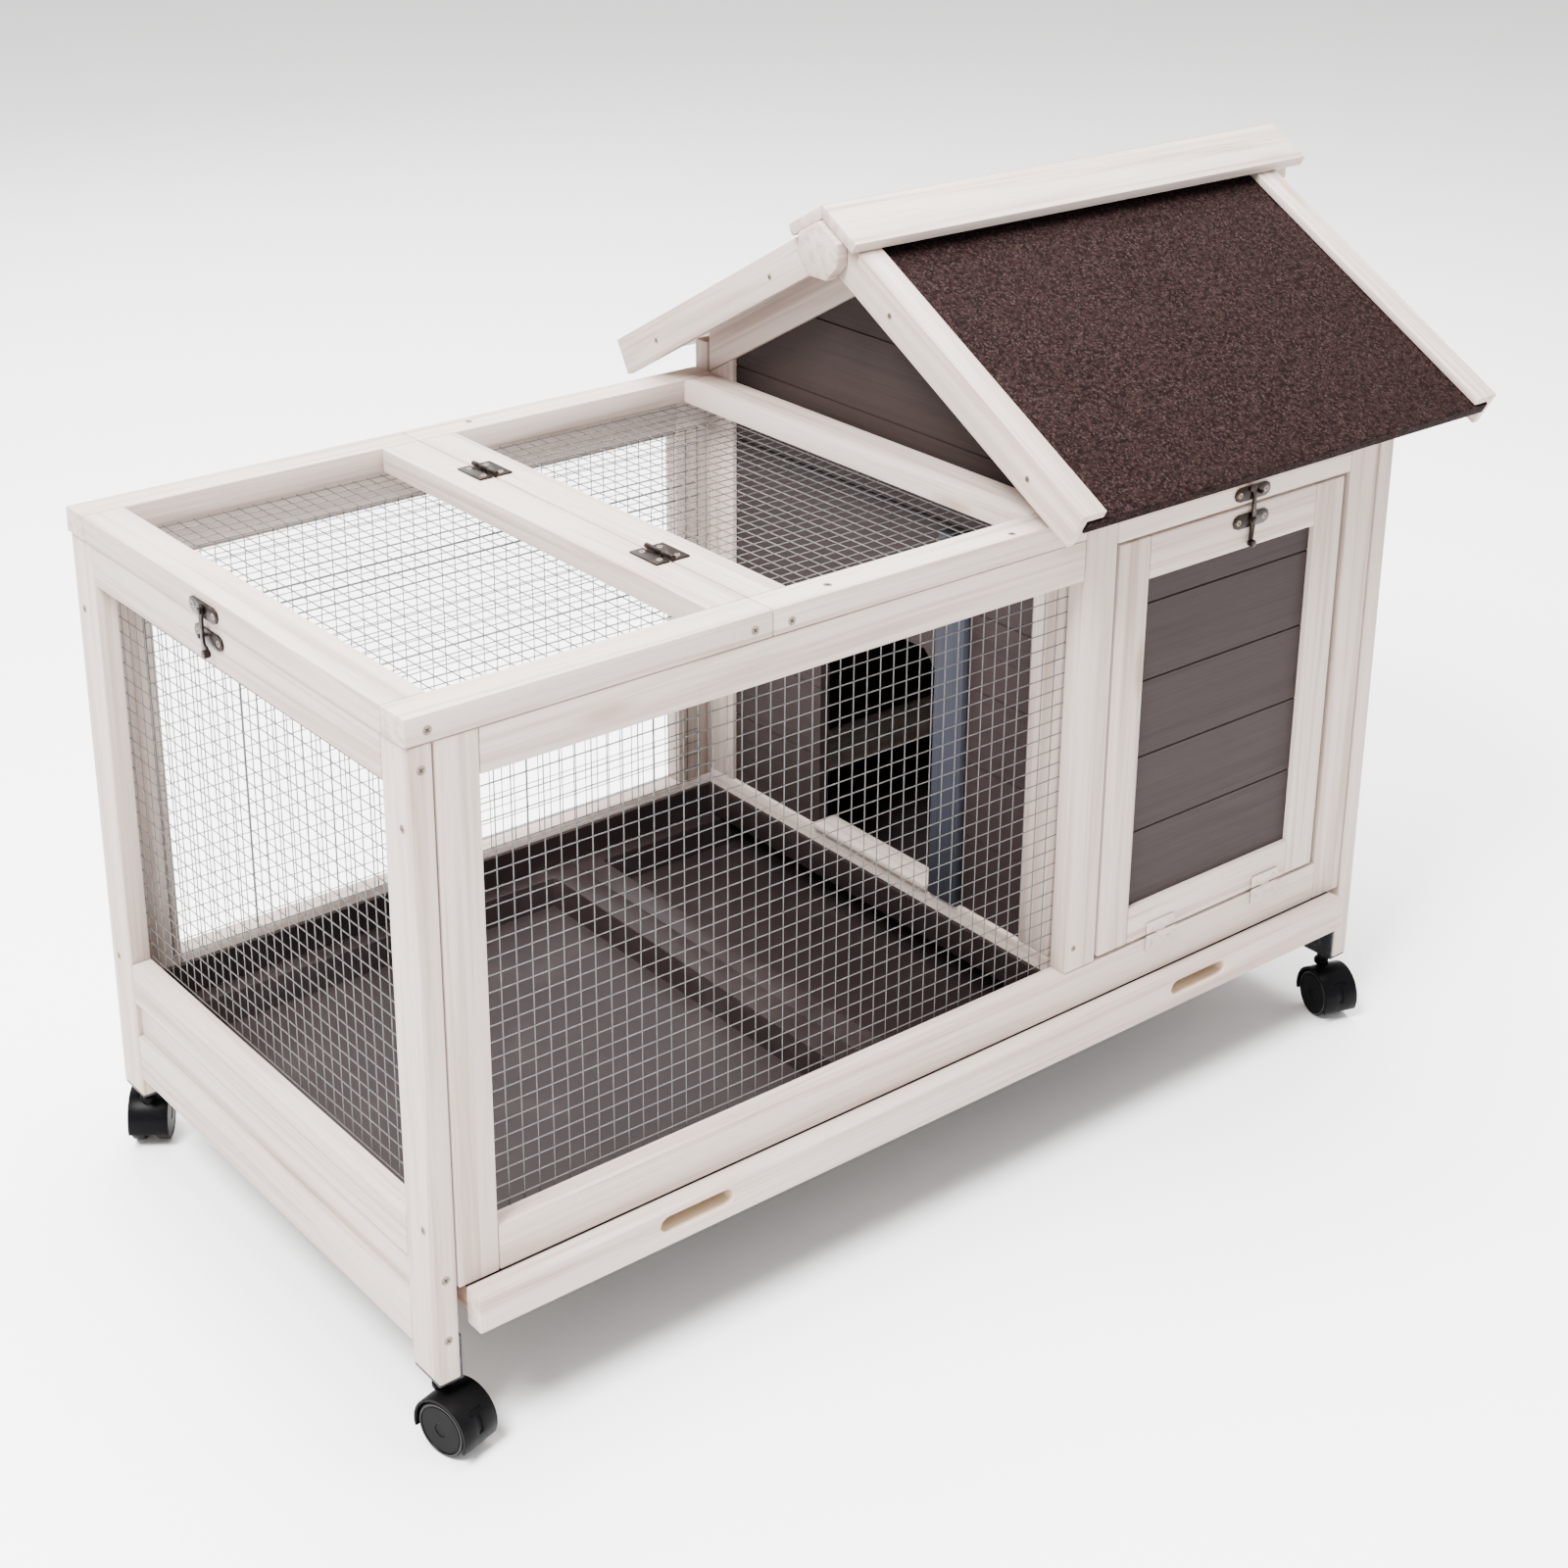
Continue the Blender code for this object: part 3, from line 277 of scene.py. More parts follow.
def plastic(name, colour, dusty, roughness, mirror, pebble):
    """Moulded plastic with a pebbled skin and patches of dust."""
    look = Finish(name, Roughness=roughness, Specular_IOR_Level=mirror)
    fine = look.noise((pebble, pebble, pebble), 0.0, 3.0, 0.6)
    dust = look.noise((14.0, 14.0, 30.0), 0.0, 4.0, 0.6, 0.5)
    look.feed(Base_Color=look.blend(look.ramp(dust, 0.45, 0.8) * 0.6, colour, dusty))
    look.feed(Roughness=dust * 0.25 + (roughness - 0.12))
    look.bump(fine, 0.00015, 0.35)
    return look.material


# Woods: pale, dark and knot colour, roughness, strength of the streaks
WHITE = (rgb(0.485, 0.400, 0.358), rgb(0.30, 0.225, 0.185), rgb(0.22, 0.14, 0.09), 0.62, 0.8)
GREY = (rgb(0.0245, 0.0163, 0.0155), rgb(0.0175, 0.0117, 0.0110), rgb(0.009, 0.006, 0.0055), 0.66, 0.6)
# Grey paint with a blue cast that is a painted reflection, for the doorway batten
GREY_BLUE_REFLECTION = (rgb(0.030, 0.032, 0.043), rgb(0.020, 0.021, 0.027), rgb(0.01, 0.01, 0.011), 0.66, 0.6)
PINE = (rgb(0.30, 0.20, 0.145), rgb(0.16, 0.10, 0.07), rgb(0.10, 0.055, 0.035), 0.6, 0.7)
BARE = (rgb(0.62, 0.50, 0.37), rgb(0.45, 0.33, 0.22), rgb(0.3, 0.2, 0.12), 0.7, 0.6)
looks = {"felt": felt()}
for tone, values, letters in (("white", WHITE, "xyz"), ("grey", GREY, "xy"), ("pine", PINE, "y"),
                              ("grey_blue_reflection", GREY_BLUE_REFLECTION, "z")):
    for letter in letters:
        looks[tone, letter] = wood(f"{tone}_boards_{letter}", "xyz".index(letter), 0.0, *values)
looks["white", "front"] = wood("white_boards_front_slope", 1, -SLOPE, *WHITE)
looks["white", "back"] = wood("white_boards_back_slope", 1, SLOPE, *WHITE)
looks["bare"] = wood("bare_slot_edges", 0, 0.0, *BARE)
looks["mesh"] = metal("galvanised_wire", rgb(0.105, 0.102, 0.100), rgb(0.17, 0.166, 0.162), 0.45, 0.75)
looks["bronze"] = metal("dark_bronze", rgb(0.016, 0.0105, 0.0085), rgb(0.06, 0.042, 0.032), 0.36, 0.85)
looks["painted"] = metal("painted_steel", rgb(0.42, 0.345, 0.31), rgb(0.31, 0.245, 0.21), 0.5, 0.1)
looks["steel"] = metal("black_steel", rgb(0.014, 0.014, 0.016), rgb(0.05, 0.05, 0.055), 0.45, 0.6)
looks["screw"] = metal("zinc_screws", rgb(0.20, 0.155, 0.12), rgb(0.10, 0.07, 0.05), 0.45, 0.55)
# Near-black for the crosses on the screw heads: painted shade in the cross recesses
looks["recess"] = metal("screw_recess_painted_shade", rgb(0.03, 0.025, 0.022), rgb(0.06, 0.05, 0.04), 0.7, 0.3)
looks["tray"] = plastic("tray_plastic", rgb(0.015, 0.0105, 0.010), rgb(0.030, 0.023, 0.022),
                        0.36, 0.12, 700.0)
looks["kick"] = plastic("kick_board_plastic", rgb(0.016, 0.011, 0.0102), rgb(0.030, 0.023, 0.021),
                        0.38, 0.12, 700.0)
looks["nylon"] = plastic("caster_nylon", rgb(0.0022, 0.0022, 0.0026), rgb(0.005, 0.0046, 0.0048),
                         0.34, 0.04, 900.0)
# Paler nylon for the thin ring at a wheel's rim: a painted highlight on its edge
looks["painted_highlight_nylon"] = plastic("nylon_rim_painted_highlight", rgb(0.05, 0.047, 0.047), rgb(0.075, 0.07, 0.07),
                              0.4, 0.1, 900.0)


# Making pieces


def finished(name, bm, look, body, stands_for=(), second=None):
    """Makes the visible piece: smooth shaded up to 35 degrees, with a second look where faces ask for it."""
    mesh = bpy.data.meshes.new(name)
    bm.normal_update()
    bm.to_mesh(mesh)
    bm.free()
    for polygon in mesh.polygons:
        polygon.use_smooth = True
    mesh.set_sharp_from_angle(angle=math.radians(35))
    mesh.materials.append(looks[look])
    if second:
        mesh.materials.append(looks[second])
    piece = bpy.data.objects.new(name, mesh)
    bpy.context.scene.collection.objects.link(piece)
    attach(piece, body)
    if stands_for:
        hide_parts(*stands_for)
    return piece


def bevel(bm, edges, width, segments=2):
    """Rounds edges, with the width in millimetres."""
    bmesh.ops.bevel(bm, geom=edges, offset=width * MM, offset_type="OFFSET", segments=segments, profile=0.5,
                    affect="EDGES", clamp_overlap=True, material=-1)


def sharp_edges(bm, degrees=25.0):
    return [e for e in bm.edges if len(e.link_faces) == 2 and e.calc_face_angle(0.0) > math.radians(degrees)]


def cuboid(bm, x, y, z):
    """A box between (low, high) pairs, in millimetres from zero."""
    verts = bmesh.ops.create_cube(bm, size=1.0)["verts"]
    size = Matrix.Diagonal(((x[1] - x[0]) * MM, (y[1] - y[0]) * MM, (z[1] - z[0]) * MM, 1.0))
    middle = Vector((x[0] + x[1], y[0] + y[1], z[0] + z[1])) * MM / 2
    bmesh.ops.transform(bm, matrix=Matrix.Translation(middle) @ size, verts=verts)


def cut(bm, point, normal):
    """Removes what lies on the normal's side of a plane and closes the wound."""
    geom = bm.verts[:] + bm.edges[:] + bm.faces[:]
    done = bmesh.ops.bisect_plane(bm, geom=geom, plane_co=point, plane_no=normal, clear_outer=True)
    edges = [g for g in done["geom_cut"] if isinstance(g, bmesh.types.BMEdge)]
    bmesh.ops.holes_fill(bm, edges=edges)


def board(name, x, y, z, grain, body, stands_for, tone="white", cuts=()):
    """A level or upright board with eased edges; cuts are (point, normal) planes."""
    bm = bmesh.new()
    cuboid(bm, x, y, z)
    bmesh.ops.translate(bm, vec=CORNER, verts=bm.verts)
    for point, normal in cuts:
        cut(bm, point, normal)
    bevel(bm, sharp_edges(bm), 1.3)
    finished(name, bm, (tone, grain), body, stands_for)


def slope_place(side):
    """From (x, distance down the slope times side, height over the ridge plane) to the row frame."""
    return Matrix.Translation(at(0, RIDGE_Y, RIDGE_Z)) @ Matrix.Rotation(-side * SLOPE, 4, "X")


def slope_range(side, near, far):
    """A (low, high) pair for a stretch down one slope."""
    return (side * near, side * far) if side > 0 else (side * far, side * near)


def sloped(bm, side, short):
    """Lays what was built flat on a roof slope and cuts it plumb, short of the ridge."""
    bmesh.ops.transform(bm, matrix=slope_place(side), verts=bm.verts)
    cut(bm, at(0, RIDGE_Y + side * short, 0), Vector((0, -side, 0)))


def roof_underside(side, drop):
    """Point and outward normal of a plane parallel to a roof slope, drop square below it."""
    normal = Vector((0.0, side * math.sin(SLOPE), math.cos(SLOPE)))
    return at(0, RIDGE_Y, RIDGE_Z) - normal * drop * MM, normal


def softened(node, look, body, width, segments=2):
    """A CAD node's own shape with its facets merged and its edges eased."""
    bm = bmesh.new()
    bm.from_mesh(frame["nodes"][node].data)
    bmesh.ops.remove_doubles(bm, verts=bm.verts, dist=0.00001)
    bmesh.ops.dissolve_limit(bm, angle_limit=math.radians(1.0), verts=bm.verts, edges=bm.edges)
    bevel(bm, sharp_edges(bm), width, segments)
    return finished(node + "_eased", bm, look, body, (node,))


def rod(bm, start, end, radius, segments, cap_bevel=0.0):
    """A round bar between two points."""
    way = end - start
    place = Matrix.Translation((start + end) / 2) @ way.to_track_quat("Z", "Y").to_matrix().to_4x4()
    made = bmesh.ops.create_cone(bm, cap_ends=True, segments=segments, radius1=radius * MM,
                                 radius2=radius * MM, depth=way.length, matrix=place)["verts"]
    if cap_bevel:
        rims = [e for v in made for e in v.link_edges if any(len(f.verts) > 4 for f in e.link_faces)]
        bevel(bm, list(set(rims)), cap_bevel)
    return made


# Boards of the body


def build_posts():
    for end in ("front", "back"):
        for side in ("left", "right"):
            node = f"post_{end}_{side}"
            low, high = [(corner - CORNER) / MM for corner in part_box(node)]
            board(node + "_board", *zip(low, high), "z", "hutch", (node,))


def build_front():
    y = (0.0, BOARD)
    stile = BAY_RIGHT - RAIL
    rail = (STILE_RIGHT + SEAM, stile - SEAM)
    run_rail = (STILE_RIGHT + SEAM, HOUSE_LEFT - SEAM)
    header = (HOUSE_LEFT + RAIL + SEAM, stile - SEAM)
    middle = (HOUSE_LEFT, HOUSE_LEFT + RAIL)
    node = ("front_frame",)
    board("run_left_stile", (RUN_LEFT, STILE_RIGHT), y, (RAIL_LOW, POST_TOP), "z", "hutch", node)
    board("run_top_rail", run_rail, y, (RAIL_HIGH, POST_TOP), "x", "hutch", node)
    board("bottom_rail", rail, y, (RAIL_LOW, RAIL_LOW_TOP), "x", "hutch", node)
    board("middle_post", middle, y, (RAIL_LOW_TOP + SEAM, WALL_TOP), "z", "hutch", node)
    board("door_header", header, y, (HEADER_LOW, HEADER_TOP), "x", "hutch", node)
    board("house_right_stile", (stile, BAY_RIGHT), y, (RAIL_LOW, WALL_TOP), "z", "hutch", node)


def build_back():
    y = (BODY_DEPTH - BOARD, BODY_DEPTH)
    stile = BAY_RIGHT - RAIL
    rail = (STILE_RIGHT + SEAM, stile - SEAM)
    run_rail = (STILE_RIGHT + SEAM, HOUSE_LEFT - RAIL - SEAM)
    house_rail = (HOUSE_LEFT + RAIL + SEAM, stile - SEAM)
    run_stile = (HOUSE_LEFT - RAIL, HOUSE_LEFT - SEAM)
    house_stile = (HOUSE_LEFT, HOUSE_LEFT + RAIL)
    node = ("back_frame",)
    board("back_left_stile", (RUN_LEFT, STILE_RIGHT), y, (RAIL_LOW, POST_TOP), "z", "hutch", node)
    board("back_run_stile", run_stile, y, (RAIL_LOW_TOP + SEAM, POST_TOP), "z", "hutch", node)
    board("back_house_stile", house_stile, y, (RAIL_LOW_TOP + SEAM, WALL_TOP), "z", "hutch", node)
    board("back_top_rail", run_rail, y, (RAIL_HIGH, POST_TOP), "x", "hutch", node)
    board("back_bottom_rail", rail, y, (BACK_RAIL_LOW, RAIL_LOW_TOP), "x", "hutch", node)
    board("back_house_rail", house_rail, y, (WALL_TOP - RAIL, WALL_TOP), "x", "hutch", node)
    board("back_right_stile", (stile, BAY_RIGHT), y, (RAIL_LOW, WALL_TOP), "z", "hutch", node)


def build_ends():
    span = (POST_WIDTH + GAP, BODY_DEPTH - POST_WIDTH - GAP)
    side, runner = (SIDE_LOW, SIDE_TOP), (RUNNER_LOW, RUNNER_TOP)
    x = (0.0, BOARD)
    board("end_top_board", x, span, (END_TOP_LOW, POST_TOP), "y", "hutch", ("end_top_rail",))
    node = ("end_lower_rails",)
    board("end_bottom_board", x, span, (END_RAIL_LOW, END_RAIL_TOP), "y", "hutch", node)
    filler = (SIDE_TOP + SEAM, END_RAIL_LOW - SEAM)
    board("end_filler_board", (FILLER_BACK, BOARD), span, filler, "y", "hutch", node)
    board("end_side_board", x, span, side, "y", "hutch", node)
    board("left_runner", (BOARD + SEAM, RUNNER_INNER), span, runner, "y", "hutch", node)
    x = (BODY_LENGTH - BOARD, BODY_LENGTH)
    node = ("right_end_frame",)
    board("right_bottom_board", x, span, (RAIL_LOW, RAIL_LOW_TOP), "y", "hutch", node)
    filler = (SIDE_TOP + SEAM, RAIL_LOW - SEAM)
    board("right_filler_board", (x[0], x[1] - FILLER_BACK), span, filler, "y", "hutch", node)
    board("right_side_board", x, span, side, "y", "hutch", node)
    board("right_runner", (BODY_LENGTH - RUNNER_INNER, x[0] - SEAM), span, runner, "y", "hutch", node)
    gable("right_end", x, span, END_UPRIGHT, RAIL_LOW_TOP + SEAM, node)


def gable(name, x, span, width, low, node):
    """Two uprights and two sloping rails under the roof."""
    drop = UNDER_ROOF + RAIL
    for side, where in ((-1, "front"), (1, "back")):
        edge = span[0] if side < 0 else span[1]
        upright = (edge, edge + width) if side < 0 else (edge - width, edge)
        board(f"{name}_{where}_upright", x, upright, (low, UPRIGHT_TOP), "z", "hutch", node,
              cuts=(roof_underside(side, drop + SEAM),))
        bm = bmesh.new()
        cuboid(bm, x, slope_range(side, -PAST_RIDGE, SLOPE_RAIL_END), (-drop, -UNDER_ROOF))
        sloped(bm, side, SEAM / 2)
        cut(bm, at(0, edge, 0), Vector((0, side, 0)))
        bevel(bm, sharp_edges(bm), 1.2)
        finished(f"{name}_{where}_slope_rail", bm, ("white", where), "hutch", node)


def build_partition():
    x = (HOUSE_LEFT, HOUSE_LEFT + BOARD)
    span = (PARTITION_INSET, BODY_DEPTH - PARTITION_INSET)
    above = PARTITION_RAIL_TOP + SEAM
    node = ("partition_frame",)
    board("partition_bottom_rail", x, span, (RAIL_LOW, PARTITION_RAIL_TOP), "y", "hutch", node)
    board("doorway_sill", (x[0] - SILL_PROUD, x[1] + SILL_PROUD), (SILL_FRONT, SILL_BACK), (above, SILL_TOP),
          "y", "hutch", node)
    # The batten is grey paint; its blue cast is a painted reflection
    board("doorway_batten", (x[0] - BATTEN_PROUD, x[0] + BATTEN_DEPTH), (BATTEN_FRONT, BATTEN_BACK),
          (above, BATTEN_TOP), "z", "hutch", node, "grey_blue_reflection")
    gable("partition", x, span, RAIL, above, node)


def top_boards(name, x, body, node):
    """The four boards of the lid or of the fixed top."""
    z = (TOP_LOW, TOP_HIGH)
    back = BODY_DEPTH - TOP_FRONT_WIDTH
    cross = (TOP_FRONT_WIDTH + SEAM, back - SEAM)
    board(name + "_front_rail", x, (LID_FRONT, TOP_FRONT_WIDTH), z, "x", body, node)
    board(name + "_back_rail", x, (back, BODY_DEPTH - LID_FRONT), z, "x", body, node)
    board(name + "_left_rail", (x[0], x[0] + RAIL), cross, z, "y", body, node)
    board(name + "_right_rail", (x[1] - RAIL, x[1]), cross, z, "y", body, node)


def build_tops():
    top_boards("lid", (LID_LEFT, SPLIT - GAP), "lid", ("lid_frame",))
    top_boards("fixed_top", (SPLIT + GAP, HOUSE_LEFT - GAP), "hutch", ("fixed_top_frame",))


def build_door():
    y = (0.0, DOOR_BOARD)
    left, right = DOOR_LEFT + RAIL, DOOR_RIGHT - RAIL
    x, z = (left + SEAM, right - SEAM), (DOOR_LOW, DOOR_HIGH)
    node = ("door_frame",)
    board("door_left_stile", (DOOR_LEFT, left), y, z, "z", "door", node)
    board("door_right_stile", (right, DOOR_RIGHT), y, z, "z", "door", node)
    board("door_bottom_rail", x, y, (DOOR_LOW, DOOR_LOW + DOOR_LOW_RAIL), "x", "door", node)
    board("door_top_rail", x, y, (DOOR_HIGH - DOOR_TOP_RAIL, DOOR_HIGH), "x", "door", node)


# Roof


def build_roof():
    inset = BARGE_SIDE + GAP
    x = (ROOF_LEFT + inset, ROOF_RIGHT - inset)
    far = SLOPE_LENGTH + FELT_PAST
    for side, where in ((-1, "front"), (1, "back")):
        node = ("roof_panel_" + where,)
        bm = bmesh.new()
        deck = slope_range(side, -PANEL_PAST_RIDGE, far - DECK_SHORT)
        cuboid(bm, (x[0] + DECK_SIDE, x[1] - DECK_SIDE), deck, (DECK_LOW, DECK_TOP))
        sloped(bm, side, GAP)
        bevel(bm, sharp_edges(bm), 0.8)
        finished(f"roof_deck_{where}", bm, ("white", "x"), "hutch", node)
        bm = bmesh.new()
        cuboid(bm, x, slope_range(side, -PANEL_PAST_RIDGE, far), (FELT_LOW, FELT_TOP))
        cuboid(bm, x, slope_range(side, far - HEM_WIDTH, far), (DECK_LOW, HEM_TOP))
        sloped(bm, side, GAP)
        bevel(bm, sharp_edges(bm), 0.9, 3)
        finished(f"roof_felt_{where}", bm, "felt", "hutch", node)
        for end, x0, turn in (("left", ROOF_LEFT, 1), ("right", ROOF_RIGHT, -1)):
            build_barge(f"barge_board_{where}_{end}", side, where, x0, turn, ("barge_boards_" + end,))
        bm = bmesh.new()
        cuboid(bm, (CAP_LEFT, CAP_RIGHT), slope_range(side, -PANEL_PAST_RIDGE, CAP_WIDTH),
               (GAP, CAP_THICK + GAP))
        sloped(bm, side, 0.0 if side > 0 else SEAM)
        bevel(bm, sharp_edges(bm), 1.4)
        finished("ridge_cap_" + where, bm, ("white", "x"), "hutch", ("ridge_cap",))
    for end in ("left", "right"):
        softened("ridge_end_block_" + end, ("white", "x"), "hutch", 1.2)


def build_barge(name, side, where, x0, turn, node):
    """An L-section board down one edge of the roof, plumb cut at the ridge."""
    section = [(0, 0), (BARGE_TOP_WIDTH, 0), (BARGE_TOP_WIDTH, -BARGE_TOP), (BARGE_SIDE, -BARGE_TOP),
               (BARGE_SIDE, -BARGE_DEPTH), (0, -BARGE_DEPTH)]
    bm = bmesh.new()
    ring = [bm.verts.new(Vector((x0 + turn * a, side * -PAST_RIDGE, d)) * MM) for a, d in section]
    face = bm.faces.new(ring)
    made = bmesh.ops.extrude_face_region(bm, geom=[face])["geom"]
    moved = [v for v in made if isinstance(v, bmesh.types.BMVert)]
    bmesh.ops.translate(bm, vec=(0, side * (SLOPE_LENGTH + PAST_RIDGE) * MM, 0), verts=moved)
    bmesh.ops.recalc_face_normals(bm, faces=bm.faces)
    sloped(bm, side, SEAM / 2)
    bevel(bm, sharp_edges(bm), 1.1)
    finished(name, bm, ("white", where), "hutch", node)


# Wire mesh


def build_mesh(node, body, first, second, flat):
    """Round wires on the CAD mesh's own pitch: first and second are the axes in its plane."""
    low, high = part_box(node)
    bm = bmesh.new()
    for along, across, depth in ((first, second, LAYER_ONE), (second, first, LAYER_TWO)):
        count = round((high[across] - low[across] - WIRE * MM) / (PITCH * MM)) + 1
        for i in range(count):
            start = Vector(low)
            start[across] = low[across] + (WIRE / 2 + PITCH * i) * MM
            start[flat] = low[flat] + depth * MM
            end = start.copy()
            end[along] = high[along]
            rod(bm, start, end, WIRE_RADIUS, 7)
    finished(node + "_wires", bm, "mesh", body, (node,))


def build_meshes():
    build_mesh("run_front_mesh", "hutch", 0, 2, 1)
    build_mesh("run_back_mesh", "hutch", 0, 2, 1)
    build_mesh("run_end_mesh", "hutch", 1, 2, 0)
    build_mesh("lid_mesh", "lid", 0, 1, 2)
    build_mesh("fixed_top_mesh", "hutch", 0, 1, 2)


# Fittings


def build_screws(name, places, body, head_look="screw", recess_look="recess"):
    """Countersunk cross heads: (position, outward normal, radius) for each, each turned its own way. Each
    cross recess is two thin boxes on the head in the recess look, by default dark as painted shade.
    """
    heads, recesses = bmesh.new(), bmesh.new()
    for point, normal, radius in places:
        normal = Vector(normal)
        turn = normal.to_track_quat("Z", "Y").to_matrix().to_4x4()
        place = Matrix.Translation(point) @ turn @ Matrix.Rotation(HEAD_TURN * point.x, 4, "Z")
        verts = bmesh.ops.create_cone(heads, cap_ends=True, segments=20, radius1=radius * MM,
                                      radius2=radius * HEAD_TAPER * MM, depth=HEAD_THICK * MM,
                                      matrix=place)["verts"]
        top = max((f for v in verts for f in v.link_faces), key=lambda f: f.calc_center_median().dot(normal))
        bmesh.ops.inset_individual(heads, faces=[top], thickness=radius * HEAD_RIM * MM,
                                   depth=-HEAD_DISH * MM)
        size = Matrix.Diagonal((radius * MM, radius * CROSS_WIDTH * MM, CROSS_THICK * MM, 1.0))
        lift = Matrix.Translation((0, 0, CROSS_HEIGHT * MM))
        # The cross: two thin boxes whose dark look is painted shade for the hole
        for quarter in (0, 1):
            arm = bmesh.ops.create_cube(recesses, size=1.0)["verts"]
            spin = Matrix.Rotation(quarter * math.pi / 2, 4, "Z")
            bmesh.ops.transform(recesses, matrix=place @ lift @ spin @ size, verts=arm)
    finished(name, heads, head_look, body)
    finished(name + "_recesses", recesses, recess_look, body)


def build_frame_screws():
    """The screws at the joints of the frames, at the places listed."""
    left, right, front, back, up = (-1, 0, 0), (1, 0, 0), (0, -1, 0), (0, 1, 0), (0, 0, 1)
    places = [(at(8.5, 0, z), front, 3.9) for z in (521, 141, 92)]
    places += [(at(599, 0, 186), front, 3.2)]
    places += [(at(0, y, z), left, 3.6) for y in (12, BODY_DEPTH - 12) for z in (478, 178)]
    places += [(at(BODY_LENGTH, y, z), right, 3.6) for y in (12, BODY_DEPTH - 12) for z in (560, 178)]
    places += [(at(304, LID_FRONT, 546), front, 3.9), (at(346, 12, TOP_HIGH), up, 3.8),
               (at(517, 6, TOP_HIGH), up, 3.4), (at(346, BODY_DEPTH - 12, TOP_HIGH), up, 3.4)]
    places += [(at(STILE_RIGHT - 16, BODY_DEPTH, z), back, 3.2) for z in (150, 520)]
    for side in (-1, 1):
        for along in BARGE_SCREWS_AT:
            for x, outward in ((ROOF_LEFT, left), (ROOF_RIGHT, right)):
                point = slope_place(side) @ (Vector((x, side * along, DECK_LOW)) * MM)
                places.append((point, outward, BARGE_SCREW))
    build_screws("frame_screws", places, "hutch")
    build_screws("lid_screws", [(at(x, LID_FRONT, 547), front, 3.9) for x in (14, 272)], "lid")


def build_hinges():
    """Each leaf with its two screws, a little off the leaf's middle, away from the knuckles."""
    lid_leaves = (("lid_hinge_leaf_", "lid", -LEAF_SHIFT), ("top_hinge_leaf_", "hutch", LEAF_SHIFT))
    for place in ("front", "back"):
        for start, body, shift in lid_leaves:
            node = start + place
            softened(node, "bronze", body, 0.3)
            low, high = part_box(node)
            x = (low.x + high.x) / 2 + shift * MM
            z = at(0, 0, TOP_HIGH + LEAF_THICK).z
            ends = (low.y + SCREW_INSET * MM, high.y - SCREW_INSET * MM)
            screws = [(Vector((x, y, z)), (0, 0, 1), LEAF_SCREW) for y in ends]
            build_screws(node + "_screws", screws, body)
    door_leaves = (("door_hinge_leaf_", "door", LEAF_SHIFT), ("rail_hinge_leaf_", "hutch", -LEAF_SHIFT))
    for place in ("left", "right"):
        for start, body, shift in door_leaves:
            node = start + place
            softened(node, "painted", body, 0.3)
            low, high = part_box(node)
            z = (low.z + high.z) / 2 + shift * MM
            y = at(0, -PAINTED_LEAF_THICK, 0).y
            ends = (low.x + SCREW_INSET * MM, high.x - SCREW_INSET * MM)
            screws = [(Vector((x, y, z)), (0, -1, 0), PAINTED_SCREW) for x in ends]
            build_screws(node + "_screws", screws, body, "painted", "painted")


def build_latches():
    """Plates with a screw at each end: flat is the axis they face along, along the axis of their length."""
    plates = (("lid_latch_plate", "lid", 0, 1), ("end_latch_plate", "hutch", 0, 1),
              ("header_latch_plate", "hutch", 1, 0), ("door_latch_plate", "door", 1, 0))
    for node, body, flat, along in plates:
        softened(node, "bronze", body, 0.35)
        low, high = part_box(node)
        normal = Vector((0, 0, 0))
        normal[flat] = -1
        places = []
        for end in (low[along] + SCREW_INSET * MM, high[along] - SCREW_INSET * MM):
            point = (low + high) / 2
            point[flat] = high[flat] - LEAF_THICK * MM
            point[along] = end
            places.append((point, normal, LEAF_SCREW))
        build_screws(node + "_screws", places, body)
    softened("lid_latch_hook", "bronze", "lid_latch", 0.5)
    softened("door_latch_hook", "bronze", "door_latch", 0.5)


# Casters


def build_casters():
    for corner in ("front_left", "front_right", "back_left", "back_right"):
        softened("caster_bracket_" + corner, "steel", "hutch", 0.5)
        stem = Vector(JOINTS["swivel_" + corner]["pos_m"])
        hub = Vector(JOINTS["roll_" + corner]["pos_m"])
        axle = Vector(JOINTS["roll_" + corner]["axis"])
        build_wheels(corner, hub, axle)
        build_hood(corner, stem, hub, axle)


def build_wheels(corner, hub, axle):
    """Two discs with a stepped outer face, and the axle between them."""
    bm = bmesh.new()
    for side in (-1, 1):
        out = axle * side
        made = rod(bm, hub + out * WHEEL_NEAR * MM, hub + out * WHEEL_FAR * MM, WHEEL_RADIUS, 48)
        caps = {f for v in made for f in v.link_faces if len(f.verts) > 4}
        bevel(bm, [e for f in caps for e in f.edges], TREAD_BEVEL, 3)
        outer = max((f for f in bm.faces if len(f.verts) > 20),
                    key=lambda f: (f.calc_center_median() - hub).dot(out))
        # Faces of the step flagged 1 get the paler nylon of the painted highlight
        for width, height, worn in WHEEL_STEPS:
            ring = bmesh.ops.inset_individual(bm, faces=[outer], thickness=width * MM, depth=height * MM)
            for face in ring["faces"]:
                face.material_index = worn
    rod(bm, hub - axle * AXLE_HALF * MM, hub + axle * AXLE_HALF * MM, AXLE_RADIUS, 16)
    finished("wheels_" + corner, bm, "nylon", "wheels_" + corner, ("caster_wheels_" + corner,),
             second="painted_highlight_nylon")


